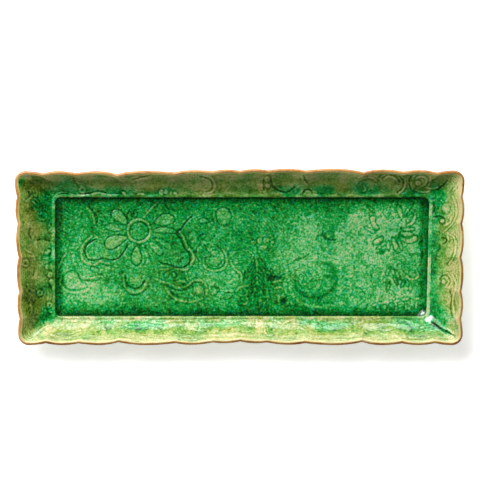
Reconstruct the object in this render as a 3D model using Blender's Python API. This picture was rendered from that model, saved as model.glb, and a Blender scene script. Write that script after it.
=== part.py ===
"""An oblong glazed stoneware serving tray with a scalloped rim.

Metres, +Z up, +X along the tray. The origin is on the table, under the middle of the tray.

The tray is one fired piece. It is modelled as the clay and as the coats fused to it: the pressed body, the
foot ring luted under it, the glaze pooled in the well, the glaze on the inner walls, the glaze outside them,
and the iron-brown band on the lip. Each is a loft through rings of points. A ring blends the rim's outline
into the well's outline, so the walls grow wider towards the ends, and the scallops fade on the way down.
"""

import math

import bmesh
import bpy

TRAY_NAME = "serving_tray"

# Rim and well in plan.
RIM_HALF_LENGTH = 0.1766
RIM_HALF_WIDTH = 0.0694
RIM_CORNER = 0.0085
WELL_HALF_LENGTH = 0.1482
WELL_HALF_WIDTH = 0.0479
WELL_CORNER = 0.005
WELL_CENTRE = (0.0012, 0.00025)
SMALLEST_CORNER = 0.0015

# The ends lean a little, as firing left them: how far the +Y corner stands out past the -Y corner, halved.
RIM_LEAN_RIGHT = 0.0009
RIM_LEAN_LEFT = 0.0015
WELL_LEAN_RIGHT = 0.0012
# The long sides bow: as (height of the bow, its middle, its reach, what is added all along).
BACK_BOW = (0.0021, 0.055, 0.095, -0.0013)  # at +Y
FRONT_BOW = (-0.0018, 0.0, 0.028, 0.0)  # at -Y
# The middle of the rim's box, which the leaning ends and bowed sides move off the outline's own middle.
BOX_MIDDLE = (-0.00026, 0.0003)

# Scallops: the valleys on half a side, as (distance from the side's middle, depth).
SIDE_VALLEYS = ((0.0, 0.0012), (0.0213, 0.0012), (0.0513, 0.0016), (0.097, 0.0026),
                (0.1286, 0.0015), (0.1546, 0.0017))
END_VALLEYS = ((0.0, 0.0019), (0.027, 0.0015), (0.0485, 0.0015))
LOBE_FULLNESS = 0.8
SCALLOP_FADE = 0.7  # the part of the wall's width over which the scallops die out
LOBE_STEPS = 3
CORNER_STEPS = 4

# Heights of the clay.
FOOT_HEIGHT = 0.0025
UNDERSIDE = 0.0028
CLAY_FLOOR = 0.0072
CLAY_LEDGE = 0.0100
CLAY_LIP = 0.0252
TRAY_HEIGHT = 0.0270

# Coats, and the gap that keeps neighbouring solids apart.
GAP = 0.0003
COAT_NEAR = 0.0004
COAT_FAR = 0.0011
WELL_COAT = 0.0007

# Widths across the wall.
LIP_OUTSIDE = 0.0012  # the clay lip's outer edge, in from the rim's outline
LIP_INSIDE = 0.0033
BAND_WIDTH = 0.0032
FOOT_OUTSIDE = 0.003  # the foot ring's outer edge, in from the well's outline
FOOT_WIDTH = 0.007
FOOT_CHAMFER = 0.0006
WELL_COAT_INSET = 0.0020

WALL_WIDTH = RIM_HALF_WIDTH - WELL_HALF_WIDTH


def mix(first, second, share):
    return first * (1.0 - share) + second * share


# --- outlines ---------------------------------------------------------------------------------------------

def scallop_depth(distance, valleys, straight):
    """How far the edge lies in from the crest line, at a distance from the middle of a side."""
    distance = abs(distance)
    for (near, near_depth), (far, far_depth) in zip(valleys, valleys[1:]):
        if distance <= far:
            share = (distance - near) / (far - near)
            return mix(near_depth, far_depth, share) * (1.0 - math.sin(math.pi * share) ** LOBE_FULLNESS)
    last, last_depth = valleys[-1]
    share = min((distance - last) / (straight - last), 1.0)
    return last_depth * (1.0 - math.sin(0.5 * math.pi * share) ** LOBE_FULLNESS)


def bow(x, at_back):
    """How far a long side stands out from the outline at x."""
    height, middle, reach, all_along = BACK_BOW if at_back else FRONT_BOW
    return height * math.exp(-((x - middle) / reach) ** 2) + all_along


def side_stops(valleys, straight):
    """Places along a whole side's straight stretch, with LOBE_STEPS steps to each lobe."""
    edges = [place for place, depth in valleys] + [straight]
    half = [mix(near, far, step / LOBE_STEPS)
            for near, far in zip(edges, edges[1:]) for step in range(LOBE_STEPS)] + [straight]
    return [-place for place in reversed(half[1:])] + half


def ring_stations():
    """Every point of a ring, anticlockwise: (side, reach, turn, depth).

    Sides 0 to 3 face +X, +Y, -X and -Y. reach runs from -1 to 1 along the straight stretch, turn from 0 to 1
    round the corner that follows it, and depth is the scallop's depth at the rim.
    """
    stations = []
    for side in range(4):
        at_end = side % 2 == 0
        valleys = END_VALLEYS if at_end else SIDE_VALLEYS
        straight = (RIM_HALF_WIDTH if at_end else RIM_HALF_LENGTH) - RIM_CORNER
        for place in side_stops(valleys, straight):
            stations.append((side, place / straight, 0.0, scallop_depth(place, valleys, straight)))
        for step in range(1, CORNER_STEPS):
            stations.append((side, 1.0, step / CORNER_STEPS, 0.0))
    return stations


STATIONS = ring_stations()


def plan_point(station, blend, inset):
    """A station's place in plan: blend 0 is the rim's outline and 1 the well's, then moved inwards by inset."""
    side, reach, turn, depth = station
    half_length = mix(RIM_HALF_LENGTH, WELL_HALF_LENGTH, blend) - inset
    half_width = mix(RIM_HALF_WIDTH, WELL_HALF_WIDTH, blend) - inset
    corner = max(mix(RIM_CORNER, WELL_CORNER, blend) - inset, SMALLEST_CORNER)
    outward, along = (half_length, half_width) if side % 2 == 0 else (half_width, half_length)
    angle = 0.5 * math.pi * turn
    out = outward - corner * (1.0 - math.cos(angle))
    out -= depth * max(1.0 - blend / SCALLOP_FADE, 0.0)
    ahead = reach * (along - corner) + corner * math.sin(angle)

    turned = 0.5 * math.pi * side
    x = out * math.cos(turned) - ahead * math.sin(turned)
    y = out * math.sin(turned) + ahead * math.cos(turned)
    lean = mix(RIM_LEAN_RIGHT, WELL_LEAN_RIGHT, blend) if x > 0.0 else -mix(RIM_LEAN_LEFT, 0.0, blend)
    lean_x = lean * abs(x) / half_length * y / half_width
    bow_y = bow(x, y > 0.0) * (1.0 - blend) * y / half_width
    return (x + lean_x + WELL_CENTRE[0] * blend - BOX_MIDDLE[0],
            y + bow_y + WELL_CENTRE[1] * blend - BOX_MIDDLE[1])


def ring(blend, inset, height):
    return [(*plan_point(station, blend, inset), height) for station in STATIONS]


# --- sections: lists of (blend, inset, height), going up the outside, over the lip and down the inside -------

def outer_wall():
    """The clay's outer face, from the underside's edge to the top of the lip."""
    return [(1.00, -0.0015, UNDERSIDE),
            (1.00, -0.0032, 0.0044),
            (0.62, 0.0005, 0.0098),
            (0.32, 0.0008, 0.0162),
            (0.06, 0.0011, 0.0218),
            (0.00, LIP_OUTSIDE, CLAY_LIP)]


def inner_wall():
    """The clay's inner face: a hollow curve from the lip to the ledge, then the step down to the floor."""
    curve = [(0.20, 0.0219), (0.45, 0.0165), (0.72, 0.0120), (0.92, 0.0103)]
    return ([(0.0, LIP_INSIDE, CLAY_LIP)]
            + [(blend, LIP_INSIDE * (1.0 - blend), height) for blend, height in curve]
            + [(1.0, -0.0008, CLAY_LEDGE), (1.0, 0.0006, CLAY_FLOOR)])


def offset(section, distance):
    """The section moved out of the clay by a distance, measured across the wall of a long side."""
    across = [(blend * WALL_WIDTH + inset, height) for blend, inset, height in section]
    moved = []
    for index, (blend, inset, height) in enumerate(section):
        before = across[max(index - 1, 0)]
        after = across[min(index + 1, len(across) - 1)]
        inward, up = after[0] - before[0], after[1] - before[1]
        length = math.hypot(inward, up)
        moved.append((blend, inset - distance * up / length, height + distance * inward / length))
    return moved


def coat(section):
    """A closed section of a coat that follows the clay's section."""
    return offset(section, COAT_FAR) + offset(section, COAT_NEAR)[::-1]


# --- building --------------------------------------------------------------------------------------------

def make_material(name, colour, roughness):
    material = bpy.data.materials.new(name)
    material.use_nodes = True
    shader = material.node_tree.nodes["Principled BSDF"]
    shader.inputs["Base Color"].default_value = (*colour, 1.0)
    shader.inputs["Roughness"].default_value = roughness
    shader.inputs["Metallic"].default_value = 0.0
    material.diffuse_color = (*colour, 1.0)
    return material


def loft(name, section, material, collection, capped=False):
    """A solid through the section's rings: capped at its first and last ring, or closed on itself."""
    shape = bmesh.new()
    rows = [[shape.verts.new(point) for point in ring(*station)] for station in section]
    pairs = list(zip(rows, rows[1:]))
    if capped:
        shape.faces.new(rows[0][::-1])
        shape.faces.new(rows[-1])
    else:
        pairs.append((rows[-1], rows[0]))
    for row, next_row in pairs:
        for index, vertex in enumerate(row):
            following = (index + 1) % len(row)
            shape.faces.new((vertex, row[following], next_row[following], next_row[index]))
    mesh = bpy.data.meshes.new(name)
    shape.to_mesh(mesh)
    shape.free()
    mesh.shade_smooth()
    mesh.set_sharp_from_angle(angle=math.radians(35.0))
    mesh.materials.append(material)
    solid = bpy.data.objects.new(name, mesh)
    collection.objects.link(solid)
    return solid


def build_body(collection):
    clay = make_material("fired_clay", (0.42, 0.27, 0.14), 0.75)
    loft("stoneware_body", outer_wall() + inner_wall(), clay, collection, capped=True)


def build_foot(collection):
    bare = make_material("bare_foot_clay", (0.50, 0.33, 0.19), 0.85)
    outside, inside = FOOT_OUTSIDE, FOOT_OUTSIDE + FOOT_WIDTH
    section = [(1.0, outside + FOOT_CHAMFER, 0.0),
               (1.0, outside, FOOT_CHAMFER),
               (1.0, outside, FOOT_HEIGHT),
               (1.0, inside, FOOT_HEIGHT),
               (1.0, inside, FOOT_CHAMFER),
               (1.0, inside - FOOT_CHAMFER, 0.0)]
    loft("foot_ring", section, bare, collection)


def build_well_glaze(collection):
    emerald = make_material("emerald_glaze", (0.01, 0.28, 0.07), 0.12)
    bottom = CLAY_FLOOR + GAP
    section = [(1.0, WELL_COAT_INSET, bottom), (1.0, WELL_COAT_INSET, bottom + WELL_COAT)]
    loft("well_glaze", section, emerald, collection, capped=True)


def build_wall_glaze(collection):
    leaf_green = make_material("leaf_green_glaze", (0.26, 0.42, 0.12), 0.14)
    loft("wall_glaze", coat(inner_wall()), leaf_green, collection)


def build_outer_glaze(collection):
    olive = make_material("olive_glaze", (0.16, 0.24, 0.06), 0.18)
    clay = outer_wall()
    glaze_line = tuple(mix(low, high, 0.3) for low, high in zip(clay[1], clay[2]))
    loft("outer_glaze", coat([glaze_line] + clay[2:]), olive, collection)


def build_rim_band(collection):
    amber = make_material("iron_brown_band", (0.55, 0.27, 0.06), 0.25)
    bottom = CLAY_LIP + GAP
    shoulder = mix(bottom, TRAY_HEIGHT, 0.6)
    section = [(0.0, 0.16 * BAND_WIDTH, bottom),
               (0.0, 0.0, mix(bottom, TRAY_HEIGHT, 0.4)),
               (0.0, 0.28 * BAND_WIDTH, TRAY_HEIGHT),
               (0.0, 0.64 * BAND_WIDTH, TRAY_HEIGHT),
               (0.0, BAND_WIDTH, shoulder),
               (0.0, BAND_WIDTH, bottom)]
    loft("rim_band", section, amber, collection)


def main():
    for old in list(bpy.data.objects):
        bpy.data.objects.remove(old, do_unlink=True)
    tray = bpy.data.collections.new(TRAY_NAME)
    bpy.context.scene.collection.children.link(tray)
    build_body(tray)
    build_foot(tray)
    build_well_glaze(tray)
    build_wall_glaze(tray)
    build_outer_glaze(tray)
    build_rim_band(tray)


main()
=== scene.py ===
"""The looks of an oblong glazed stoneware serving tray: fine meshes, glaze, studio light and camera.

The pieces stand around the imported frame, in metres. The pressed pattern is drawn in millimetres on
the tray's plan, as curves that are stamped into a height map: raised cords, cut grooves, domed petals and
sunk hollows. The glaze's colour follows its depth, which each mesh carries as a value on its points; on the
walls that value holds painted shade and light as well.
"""

import math

import bpy
import numpy as np
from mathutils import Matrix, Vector


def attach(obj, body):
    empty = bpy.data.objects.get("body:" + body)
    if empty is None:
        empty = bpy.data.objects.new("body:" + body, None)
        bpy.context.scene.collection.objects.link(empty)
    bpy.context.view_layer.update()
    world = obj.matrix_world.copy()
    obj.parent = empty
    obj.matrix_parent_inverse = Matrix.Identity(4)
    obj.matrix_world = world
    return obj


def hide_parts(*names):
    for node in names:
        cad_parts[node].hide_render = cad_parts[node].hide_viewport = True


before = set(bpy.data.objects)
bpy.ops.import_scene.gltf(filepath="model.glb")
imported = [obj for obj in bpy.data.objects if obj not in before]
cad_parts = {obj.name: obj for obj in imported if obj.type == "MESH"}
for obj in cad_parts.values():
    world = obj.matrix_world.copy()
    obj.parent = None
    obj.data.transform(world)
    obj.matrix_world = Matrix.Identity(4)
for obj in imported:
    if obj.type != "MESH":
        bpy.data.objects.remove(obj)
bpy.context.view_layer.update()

MM = 0.001

# --- the tray's plan, as in the frame -------------------------------------------------------------

RIM_HALF_LENGTH, RIM_HALF_WIDTH, RIM_CORNER = 0.1766, 0.0694, 0.0085
WELL_HALF_LENGTH, WELL_HALF_WIDTH, WELL_CORNER = 0.1482, 0.0479, 0.005
WELL_CENTRE = (0.0012, 0.00025)
BOX_MIDDLE = (-0.00026, 0.0003)  # of the plan as drawn, which the frame moves to the origin
SMALLEST_CORNER = 0.0015
RIM_LEAN_RIGHT, RIM_LEAN_LEFT, WELL_LEAN_RIGHT = 0.0009, 0.0015, 0.0012
# how far a long side bows at most, where, over what reach, and how far all of it is moved
BACK_BOW = (0.0021, 0.055, 0.095, -0.0013)
FRONT_BOW = (-0.0018, 0.0, 0.028, 0.0)
# the valleys between the scallops: distance from the side's middle, and depth
SIDE_VALLEYS = ((0.0, 0.0012), (0.0213, 0.0012), (0.0513, 0.0016), (0.097, 0.0026),
                (0.1286, 0.0015), (0.1546, 0.0017))
END_VALLEYS = ((0.0, 0.0019), (0.027, 0.0015), (0.0485, 0.0015))
LOBE_FULLNESS = 0.8
SCALLOP_FADE = 0.7  # the blend from rim to well at which the scallops have died out

FLOOR = 0.0082  # of the well, on top of its glaze
RIM_TOP = 0.0270
UNDERSIDE = 0.0028  # of the clay body, inside the foot ring


def mix(first, second, share):
    """The first at a share of 0 and the second at 1."""
    return first * (1.0 - share) + second * share


def smoothstep(low, high, value):
    share = np.clip((value - low) / (high - low), 0.0, 1.0)
    return share * share * (3.0 - 2.0 * share)


def scallop_depth(place, valleys, straight):
    """How far the rim lies in from its crest line, for an array of distances from a side's middle."""
    place = np.abs(place)
    depth = np.zeros_like(place)
    for (near, near_depth), (far, far_depth) in zip(valleys, valleys[1:]):
        share = (place - near) / (far - near)
        lobe = mix(near_depth, far_depth, share) * (1.0 - np.abs(np.sin(np.pi * share)) ** LOBE_FULLNESS)
        depth = np.where((place >= near) & (place <= far), lobe, depth)
    last, last_depth = valleys[-1]
    share = np.clip((place - last) / (straight - last), 0.0, 1.0)
    return np.where(place > last, last_depth * (1.0 - np.sin(0.5 * np.pi * share) ** LOBE_FULLNESS), depth)


class Stations:
    """The points of a ring, anticlockwise from the -Y end of the +X side, evenly spaced round the rim."""

    def __init__(self, spacing):
        sides, reaches, turns, depths, places = [], [], [], [], []
        for side in range(4):
            at_end = side % 2 == 0
            valleys = END_VALLEYS if at_end else SIDE_VALLEYS
            straight = (RIM_HALF_WIDTH if at_end else RIM_HALF_LENGTH) - RIM_CORNER
            count = round(2.0 * straight / spacing)
            place = np.linspace(-straight, straight, count + 1)
            corner_count = max(round(0.5 * math.pi * RIM_CORNER / spacing), 6)
            turn = np.linspace(0.0, 1.0, corner_count + 1)[1:-1]
            sides.append(np.full(len(place) + len(turn), side))
            reaches.append(np.concatenate([place / straight, np.ones_like(turn)]))
            turns.append(np.concatenate([np.zeros_like(place), turn]))
            depths.append(np.concatenate([scallop_depth(place, valleys, straight), np.zeros_like(turn)]))
            places.append(np.concatenate([place, np.full(len(turn), straight)]))
        self.side = np.concatenate(sides)
        self.reach = np.concatenate(reaches)
        self.turn = np.concatenate(turns)
        self.depth = np.concatenate(depths)
        self.place = np.concatenate(places)
        self.count = len(self.side)

    def plan(self, blend, inset):
        """x and y of each station: blend 0 is the rim's outline and 1 the well's, moved inwards by inset."""
        half_length = mix(RIM_HALF_LENGTH, WELL_HALF_LENGTH, blend) - inset
        half_width = mix(RIM_HALF_WIDTH, WELL_HALF_WIDTH, blend) - inset
        corner = np.maximum(mix(RIM_CORNER, WELL_CORNER, blend) - inset, SMALLEST_CORNER)
        at_end = self.side % 2 == 0
        outward = np.where(at_end, half_length, half_width)
        along = np.where(at_end, half_width, half_length)
        angle = 0.5 * np.pi * self.turn
        scallop = self.depth * np.maximum(1.0 - blend / SCALLOP_FADE, 0.0)
        out = outward - corner * (1.0 - np.cos(angle)) - scallop
        ahead = self.reach * (along - corner) + corner * np.sin(angle)
        turned = 0.5 * np.pi * self.side
        x = out * np.cos(turned) - ahead * np.sin(turned)
        y = out * np.sin(turned) + ahead * np.cos(turned)
        lean = np.where(x > 0.0, mix(RIM_LEAN_RIGHT, WELL_LEAN_RIGHT, blend), -mix(RIM_LEAN_LEFT, 0.0, blend))
        lean_x = lean * np.abs(x) / half_length * y / half_width
        bow_y = bow(x, y) * (1.0 - blend) * y / half_width
        return (x + lean_x + WELL_CENTRE[0] * blend - BOX_MIDDLE[0],
                y + bow_y + WELL_CENTRE[1] * blend - BOX_MIDDLE[1])

    def ring(self, blend, inset, height):
        x, y = self.plan(blend, inset)
        return np.stack([x, y, height + 0.0 * x], axis=1)


def bow(x, y):
    """How far the rim's long sides lie out from straight."""
    back, front = [height * np.exp(-((x - middle) / reach) ** 2) + all_along
                   for height, middle, reach, all_along in (BACK_BOW, FRONT_BOW)]
    return np.where(y > 0.0, back, front)


def curve_through(points, spacing, closed=False, scale=None):
    """Points of a Catmull-Rom curve through the given ones, about a spacing apart."""
    points = np.asarray(points, float)
    measure = points if scale is None else points * np.asarray(scale)
    if closed:
        around = [np.roll(points, shift, axis=0) for shift in (1, 0, -1, -2)]
        lengths = np.linalg.norm(np.roll(measure, -1, axis=0) - measure, axis=1)
    else:
        ends = np.vstack([2 * points[0] - points[1], points, 2 * points[-1] - points[-2]])
        around = [ends[shift:len(ends) - 3 + shift] for shift in range(4)]
        lengths = np.linalg.norm(np.diff(measure, axis=0), axis=1)
    parts = []
    for a, b, c, d, length in zip(*around, lengths):
        t = np.linspace(0.0, 1.0, max(int(math.ceil(length / spacing)), 1), endpoint=False)[:, None]
        parts.append(0.5 * (2 * b + (c - a) * t + (2 * a - 5 * b + 4 * c - d) * t ** 2
                            + (3 * b - a - 3 * c + d) * t ** 3))
    if not closed:
        parts.append(points[-1:])
    return np.vstack(parts)


# --- smooth noise, the same on each run -----------------------------------------------------------

def value_noise(x, y, scale, seed):
    """Smooth noise between -1 and 1, of arrays in millimetres."""
    u, v = x / scale, y / scale
    column, row = np.floor(u).astype(int), np.floor(v).astype(int)
    fx, fy = u - column, v - row
    fx, fy = fx * fx * (3 - 2 * fx), fy * fy * (3 - 2 * fy)
    lattice = np.random.default_rng(seed).uniform(-1.0, 1.0, (256, 256))
    corner = [[lattice[(row + j) % 256, (column + i) % 256] for i in (0, 1)] for j in (0, 1)]
    return mix(mix(corner[0][0], corner[0][1], fx), mix(corner[1][0], corner[1][1], fx), fy)


def layered_noise(x, y, scale, seed, octaves=3):
    total, weight = 0.0, 0.0
    for octave in range(octaves):
        share = 0.5 ** octave
        total = total + share * value_noise(x, y, scale * share, seed + octave)
        weight += share
    return total / weight


def spot(x, y, middle, radii):
    """1 inside an upright ellipse on the plan, falling to 0 outside it, in millimetres."""
    return 1.0 - smoothstep(0.4, 1.6, np.hypot((x - middle[0]) / radii[0], (y - middle[1]) / radii[1]))


# --- the pressed pattern --------------------------------------------------------------------------

def raise_to(grid, cells, values):
    """Lifts the given cells of a grid to the values, where they are lower."""
    grid[cells] = np.maximum(grid[cells], values)


class Relief:
    """The pressed pattern's height map over the tray's plan, in millimetres."""

    CELL = 0.25
    HALF = (182.0, 73.0)
    REACH = 3.0  # how far from a line its stamp reaches
    SHOULDERS = 0.35  # height of the clay thrown up beside a cut line
    MOATS = 0.5  # depth of the clay pressed down beside a cord
    DOMES = 0.55  # height of a full dome against a full cord

    def __init__(self):
        self.columns = int(2 * self.HALF[0] / self.CELL) + 1
        self.rows = int(2 * self.HALF[1] / self.CELL) + 1
        self.xs = np.linspace(-self.HALF[0], self.HALF[0], self.columns)
        self.ys = np.linspace(-self.HALF[1], self.HALF[1], self.rows)
        self.cord = np.zeros((self.rows, self.columns))
        self.cut = np.zeros((self.rows, self.columns))
        self.dome = np.zeros((self.rows, self.columns))

    def window(self, path):
        """The rows and columns of the cells that a stamp along a path can reach."""
        low = np.floor((path.min(0) - self.REACH + self.HALF) / self.CELL).astype(int)
        high = np.ceil((path.max(0) + self.REACH + self.HALF) / self.CELL).astype(int) + 1
        low = np.maximum(low, 0)
        return slice(low[1], min(high[1], self.rows)), slice(low[0], min(high[0], self.columns))

    def distance(self, path, rows, columns):
        """Distance from each cell of a window to a path of closely spaced points."""
        xs, ys = self.xs[columns], self.ys[rows]
        nearest = np.full((len(ys), len(xs)), self.REACH)
        for x, y in path:
            left, right = np.searchsorted(xs, (x - self.REACH, x + self.REACH))
            low, high = np.searchsorted(ys, (y - self.REACH, y + self.REACH))
            span = np.hypot(xs[None, left:right] - x, ys[low:high, None] - y)
            np.minimum(nearest[low:high, left:right], span, out=nearest[low:high, left:right])
        return nearest

    def inside(self, path, rows, columns):
        """True for each cell of a window that lies inside a closed path."""
        xs, ys = self.xs[columns][None, :], self.ys[rows][:, None]
        crossings = np.zeros((ys.shape[0], xs.shape[1]), int)
        for (ax, ay), (bx, by) in zip(path, np.roll(path, -1, axis=0)):
            if ay != by:
                spans = (ay > ys) != (by > ys)
                crossings += spans & (xs < ax + (ys - ay) * (bx - ax) / (by - ay))
        return crossings % 2 == 1

    def line(self, points, width, closed):
        """The cells round a line, and how much they belong to the line and to the strips beside it."""
        path = curve_through(points, self.CELL, closed)
        cells = self.window(path)
        span = self.distance(path, *cells)
        return cells, np.exp(-(span / width) ** 2), np.exp(-((span - 2.3 * width) / (0.9 * width)) ** 2)

    def groove(self, points, depth=1.0, width=0.5, closed=False):
        """A cut line, with a slight shoulder thrown up on both sides."""
        cells, on_line, beside = self.line(points, width, closed)
        raise_to(self.cut, cells, depth * on_line)
        raise_to(self.cord, cells, self.SHOULDERS * depth * beside)

    def ridge(self, points, height=1.0, width=0.5, closed=False):
        """A raised cord, with a shallow moat on both sides."""
        cells, on_line, beside = self.line(points, width, closed)
        raise_to(self.cord, cells, height * on_line)
        raise_to(self.cut, cells, self.MOATS * height * beside)

    def shape(self, points):
        """The cells round a closed shape, and how far inside its edge each lies."""
        path = curve_through(points, self.CELL, closed=True)
        cells = self.window(path)
        return cells, np.where(self.inside(path, *cells), self.distance(path, *cells), 0.0)

    def petal(self, points, height=0.6, depth=0.9, width=0.5):
        """A domed shape inside a closed cut line."""
        cells, inward = self.shape(points)
        raise_to(self.dome, cells, height * smoothstep(0.3, 2.4, inward))
        self.groove(points, depth, width, closed=True)

    def hollow(self, points, depth=0.8):
        """A sunk shape, where the glaze lies deep."""
        cells, inward = self.shape(points)
        raise_to(self.cut, cells, depth * smoothstep(0.0, 1.0, inward))

    def height(self):
        """The pattern's height, with 1 for a full cord and -1 for a full groove."""
        uncut = 1.0 - np.clip(self.cut, 0, 1)
        return self.cord * uncut + self.DOMES * self.dome * uncut - self.cut

    def soften(self, grid, reach):
        """The grid, each cell averaged with its neighbours by a bell curve of that reach in millimetres."""
        cells = int(3 * reach / self.CELL)
        shares = np.exp(-0.5 * (np.arange(-cells, cells + 1) * self.CELL / reach) ** 2)
        for axis in (0, 1):
            grid = sum(share * np.roll(grid, shift, axis=axis)
                       for share, shift in zip(shares / shares.sum(), range(-cells, cells + 1)))
        return grid

    def sample(self, grid, x, y):
        """The grid's value at plan places in millimetres, between its cells."""
        u = np.clip((x + self.HALF[0]) / self.CELL, 0, self.columns - 1.001)
        v = np.clip((y + self.HALF[1]) / self.CELL, 0, self.rows - 1.001)
        column, row = u.astype(int), v.astype(int)
        fx, fy = u - column, v - row
        low = mix(grid[row, column], grid[row, column + 1], fx)
        high = mix(grid[row + 1, column], grid[row + 1, column + 1], fx)
        return mix(low, high, fy)


def oval(middle, radii, angle=0.0, count=10):
    """Points round an ellipse."""
    turn = math.radians(angle)
    points = []
    for index in range(count):
        theta = 2 * math.pi * index / count
        u, v = radii[0] * math.cos(theta), radii[1] * math.sin(theta)
        points.append((middle[0] + u * math.cos(turn) - v * math.sin(turn),
                       middle[1] + u * math.sin(turn) + v * math.cos(turn)))
    return points


def leaf(base, tip, width, bend=0.0):
    """Points round a pointed leaf from its base to its tip, bent to one side."""
    base, tip = np.array(base), np.array(tip)
    along = tip - base
    across = np.array([-along[1], along[0]]) / np.linalg.norm(along)
    points = []
    for share, side in ((0.0, 0), (0.3, 0.85), (0.6, 1.0), (0.85, 0.6), (1.0, 0),
                        (0.85, -0.6), (0.6, -1.0), (0.3, -0.85)):
        middle = base + along * share + across * bend * math.sin(math.pi * share)
        points.append(tuple(middle + across * side * 0.5 * width))
    return points


def spiral(middle, start, end, turns, first_angle, count=14):
    """Points along a spiral whose radius goes from start to end."""
    points = []
    for index in range(count + 1):
        share = index / count
        radius = mix(start, end, share)
        theta = math.radians(first_angle) + 2 * math.pi * turns * share
        points.append((middle[0] + radius * math.cos(theta), middle[1] + radius * math.sin(theta)))
    return points


relief = Relief()
groove, ridge, petal, hollow = relief.groove, relief.ridge, relief.petal, relief.hollow


def draw_big_flower():
    """The large daisy at the left of the well, with its lobed outline."""
    eye = (-79.6, 20.7)
    ridge(oval(eye, (8.9, 8.9), count=14), 1.1, 0.6, closed=True)
    groove(oval(eye, (7.2, 7.2), count=14), 1.0, 0.45, closed=True)
    petal([(-88.5, 27.5), (-91, 33.5), (-95, 37.6), (-99.5, 37.6), (-102, 34.2), (-100, 30.5),
           (-95.5, 27.4), (-91, 25.6)], 0.9)
    petal([(-89.5, 23.0), (-94, 25.6), (-101, 26.8), (-107, 24.8), (-104, 21.5), (-97, 20.3)], 0.7, 0.6)
    petal([(-88.5, 15.8), (-93.5, 10.6), (-97.5, 7.6), (-101.5, 6.1), (-105.2, 7), (-106.9, 10.5),
           (-105.5, 14.4), (-101.5, 16.8), (-95, 17.6)], 0.9, 1.1)
    petal([(-81.0, 9.6), (-84.2, 5.5), (-85.9, 0.5), (-84.8, -4.6), (-81.2, -6.2), (-78.0, -3.6),
           (-77.6, 1.5), (-79.0, 6.5)], 0.8)
    groove([(-75.3, 10), (-73, 5), (-70.8, 0.5), (-70.3, -3)], 0.8)
    ridge([(-77, 9.5), (-74.8, 4), (-72.8, -1.5), (-73.5, -5)], 0.6)
    petal([(-71.5, 12.5), (-66.5, 11.5), (-61.8, 7.6), (-60.6, 3.2), (-63.5, 1.2), (-68, 4.6), (-71, 8.4)],
           0.6, 0.7)
    petal([(-69.5, 15.4), (-63, 14.9), (-57.8, 12.6), (-54.6, 9.6), (-53.8, 6.0), (-57.0, 6.2),
           (-61.5, 9.6), (-66.2, 12.8)], 0.7, 0.8)
    petal([(-68, 27.3), (-65, 31), (-61.5, 34), (-57, 34.8), (-53, 32.8), (-51, 29.8), (-53, 27),
           (-58, 25.2), (-63.5, 25)], 0.8, 0.8)
    petal([(-69.5, 20.6), (-64, 23.4), (-57, 23.9), (-51.5, 21.8), (-50.2, 19.4), (-56, 18.9), (-64, 19.2)],
           0.7)
    petal(leaf((-86.5, 28.5), (-87.6, 36.8), 3.4), 0.5, 0.7)
    petal(leaf((-82.4, 30.2), (-82.6, 38.2), 2.8), 0.5, 0.7)
    ridge([(-76.5, 31), (-72, 36), (-68, 40.5), (-64.5, 43.5)], 0.9)
    # the lobed outline: a cut line with a raised cord outside it
    left_lobes = [(-113.5, 14.5), (-118, 12), (-121.6, 8.5), (-122.6, 4.5), (-121.5, 0.5), (-118.5, -2),
                  (-114.5, -2.3), (-111, -1.4), (-107.5, -0.6), (-104, -1.9), (-99.5, -2), (-95.5, -0.3),
                  (-92.5, 3), (-90, 7), (-88.3, 10.5)]
    groove(left_lobes, 1.2, 0.6)
    ridge([(-119.5, 14.3), (-123.6, 10), (-125.2, 4.5), (-124.4, -1.2), (-121.5, -4.3), (-117.5, -5.6),
           (-113.5, -5.3), (-110.5, -3.6), (-108.3, -3.5), (-106, -4.7), (-103, -5)], 1.0, 0.6)
    right_lobes = [(-51, 18.5), (-48.5, 16.5), (-46.5, 14), (-45, 10.5), (-43.8, 7.2), (-41, 4.5),
                   (-39.6, 1), (-39.5, -2.5), (-41, -5.5), (-44, -7.5), (-48, -8.2), (-52, -7.2),
                   (-57, -5.5), (-61, -5), (-64, -3)]
    groove(right_lobes, 1.1, 0.6)
    ridge([(-47.5, 20.5), (-44.4, 15), (-42.6, 10.6), (-41.4, 7.2), (-38.4, 4.6), (-36.9, 1), (-37.1, -2.6),
           (-38.8, -6.2)], 1.0, 0.65)
    groove([(-43.2, 14.8), (-40.6, 10), (-37.3, 7.4), (-35.2, 4), (-34.4, 0.4), (-32, -3)])
    ridge([(-63, -9.6), (-56.5, -9.1), (-53, -8.3), (-49, -9.4), (-44, -9.9), (-41, -9)], 0.9)


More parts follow.
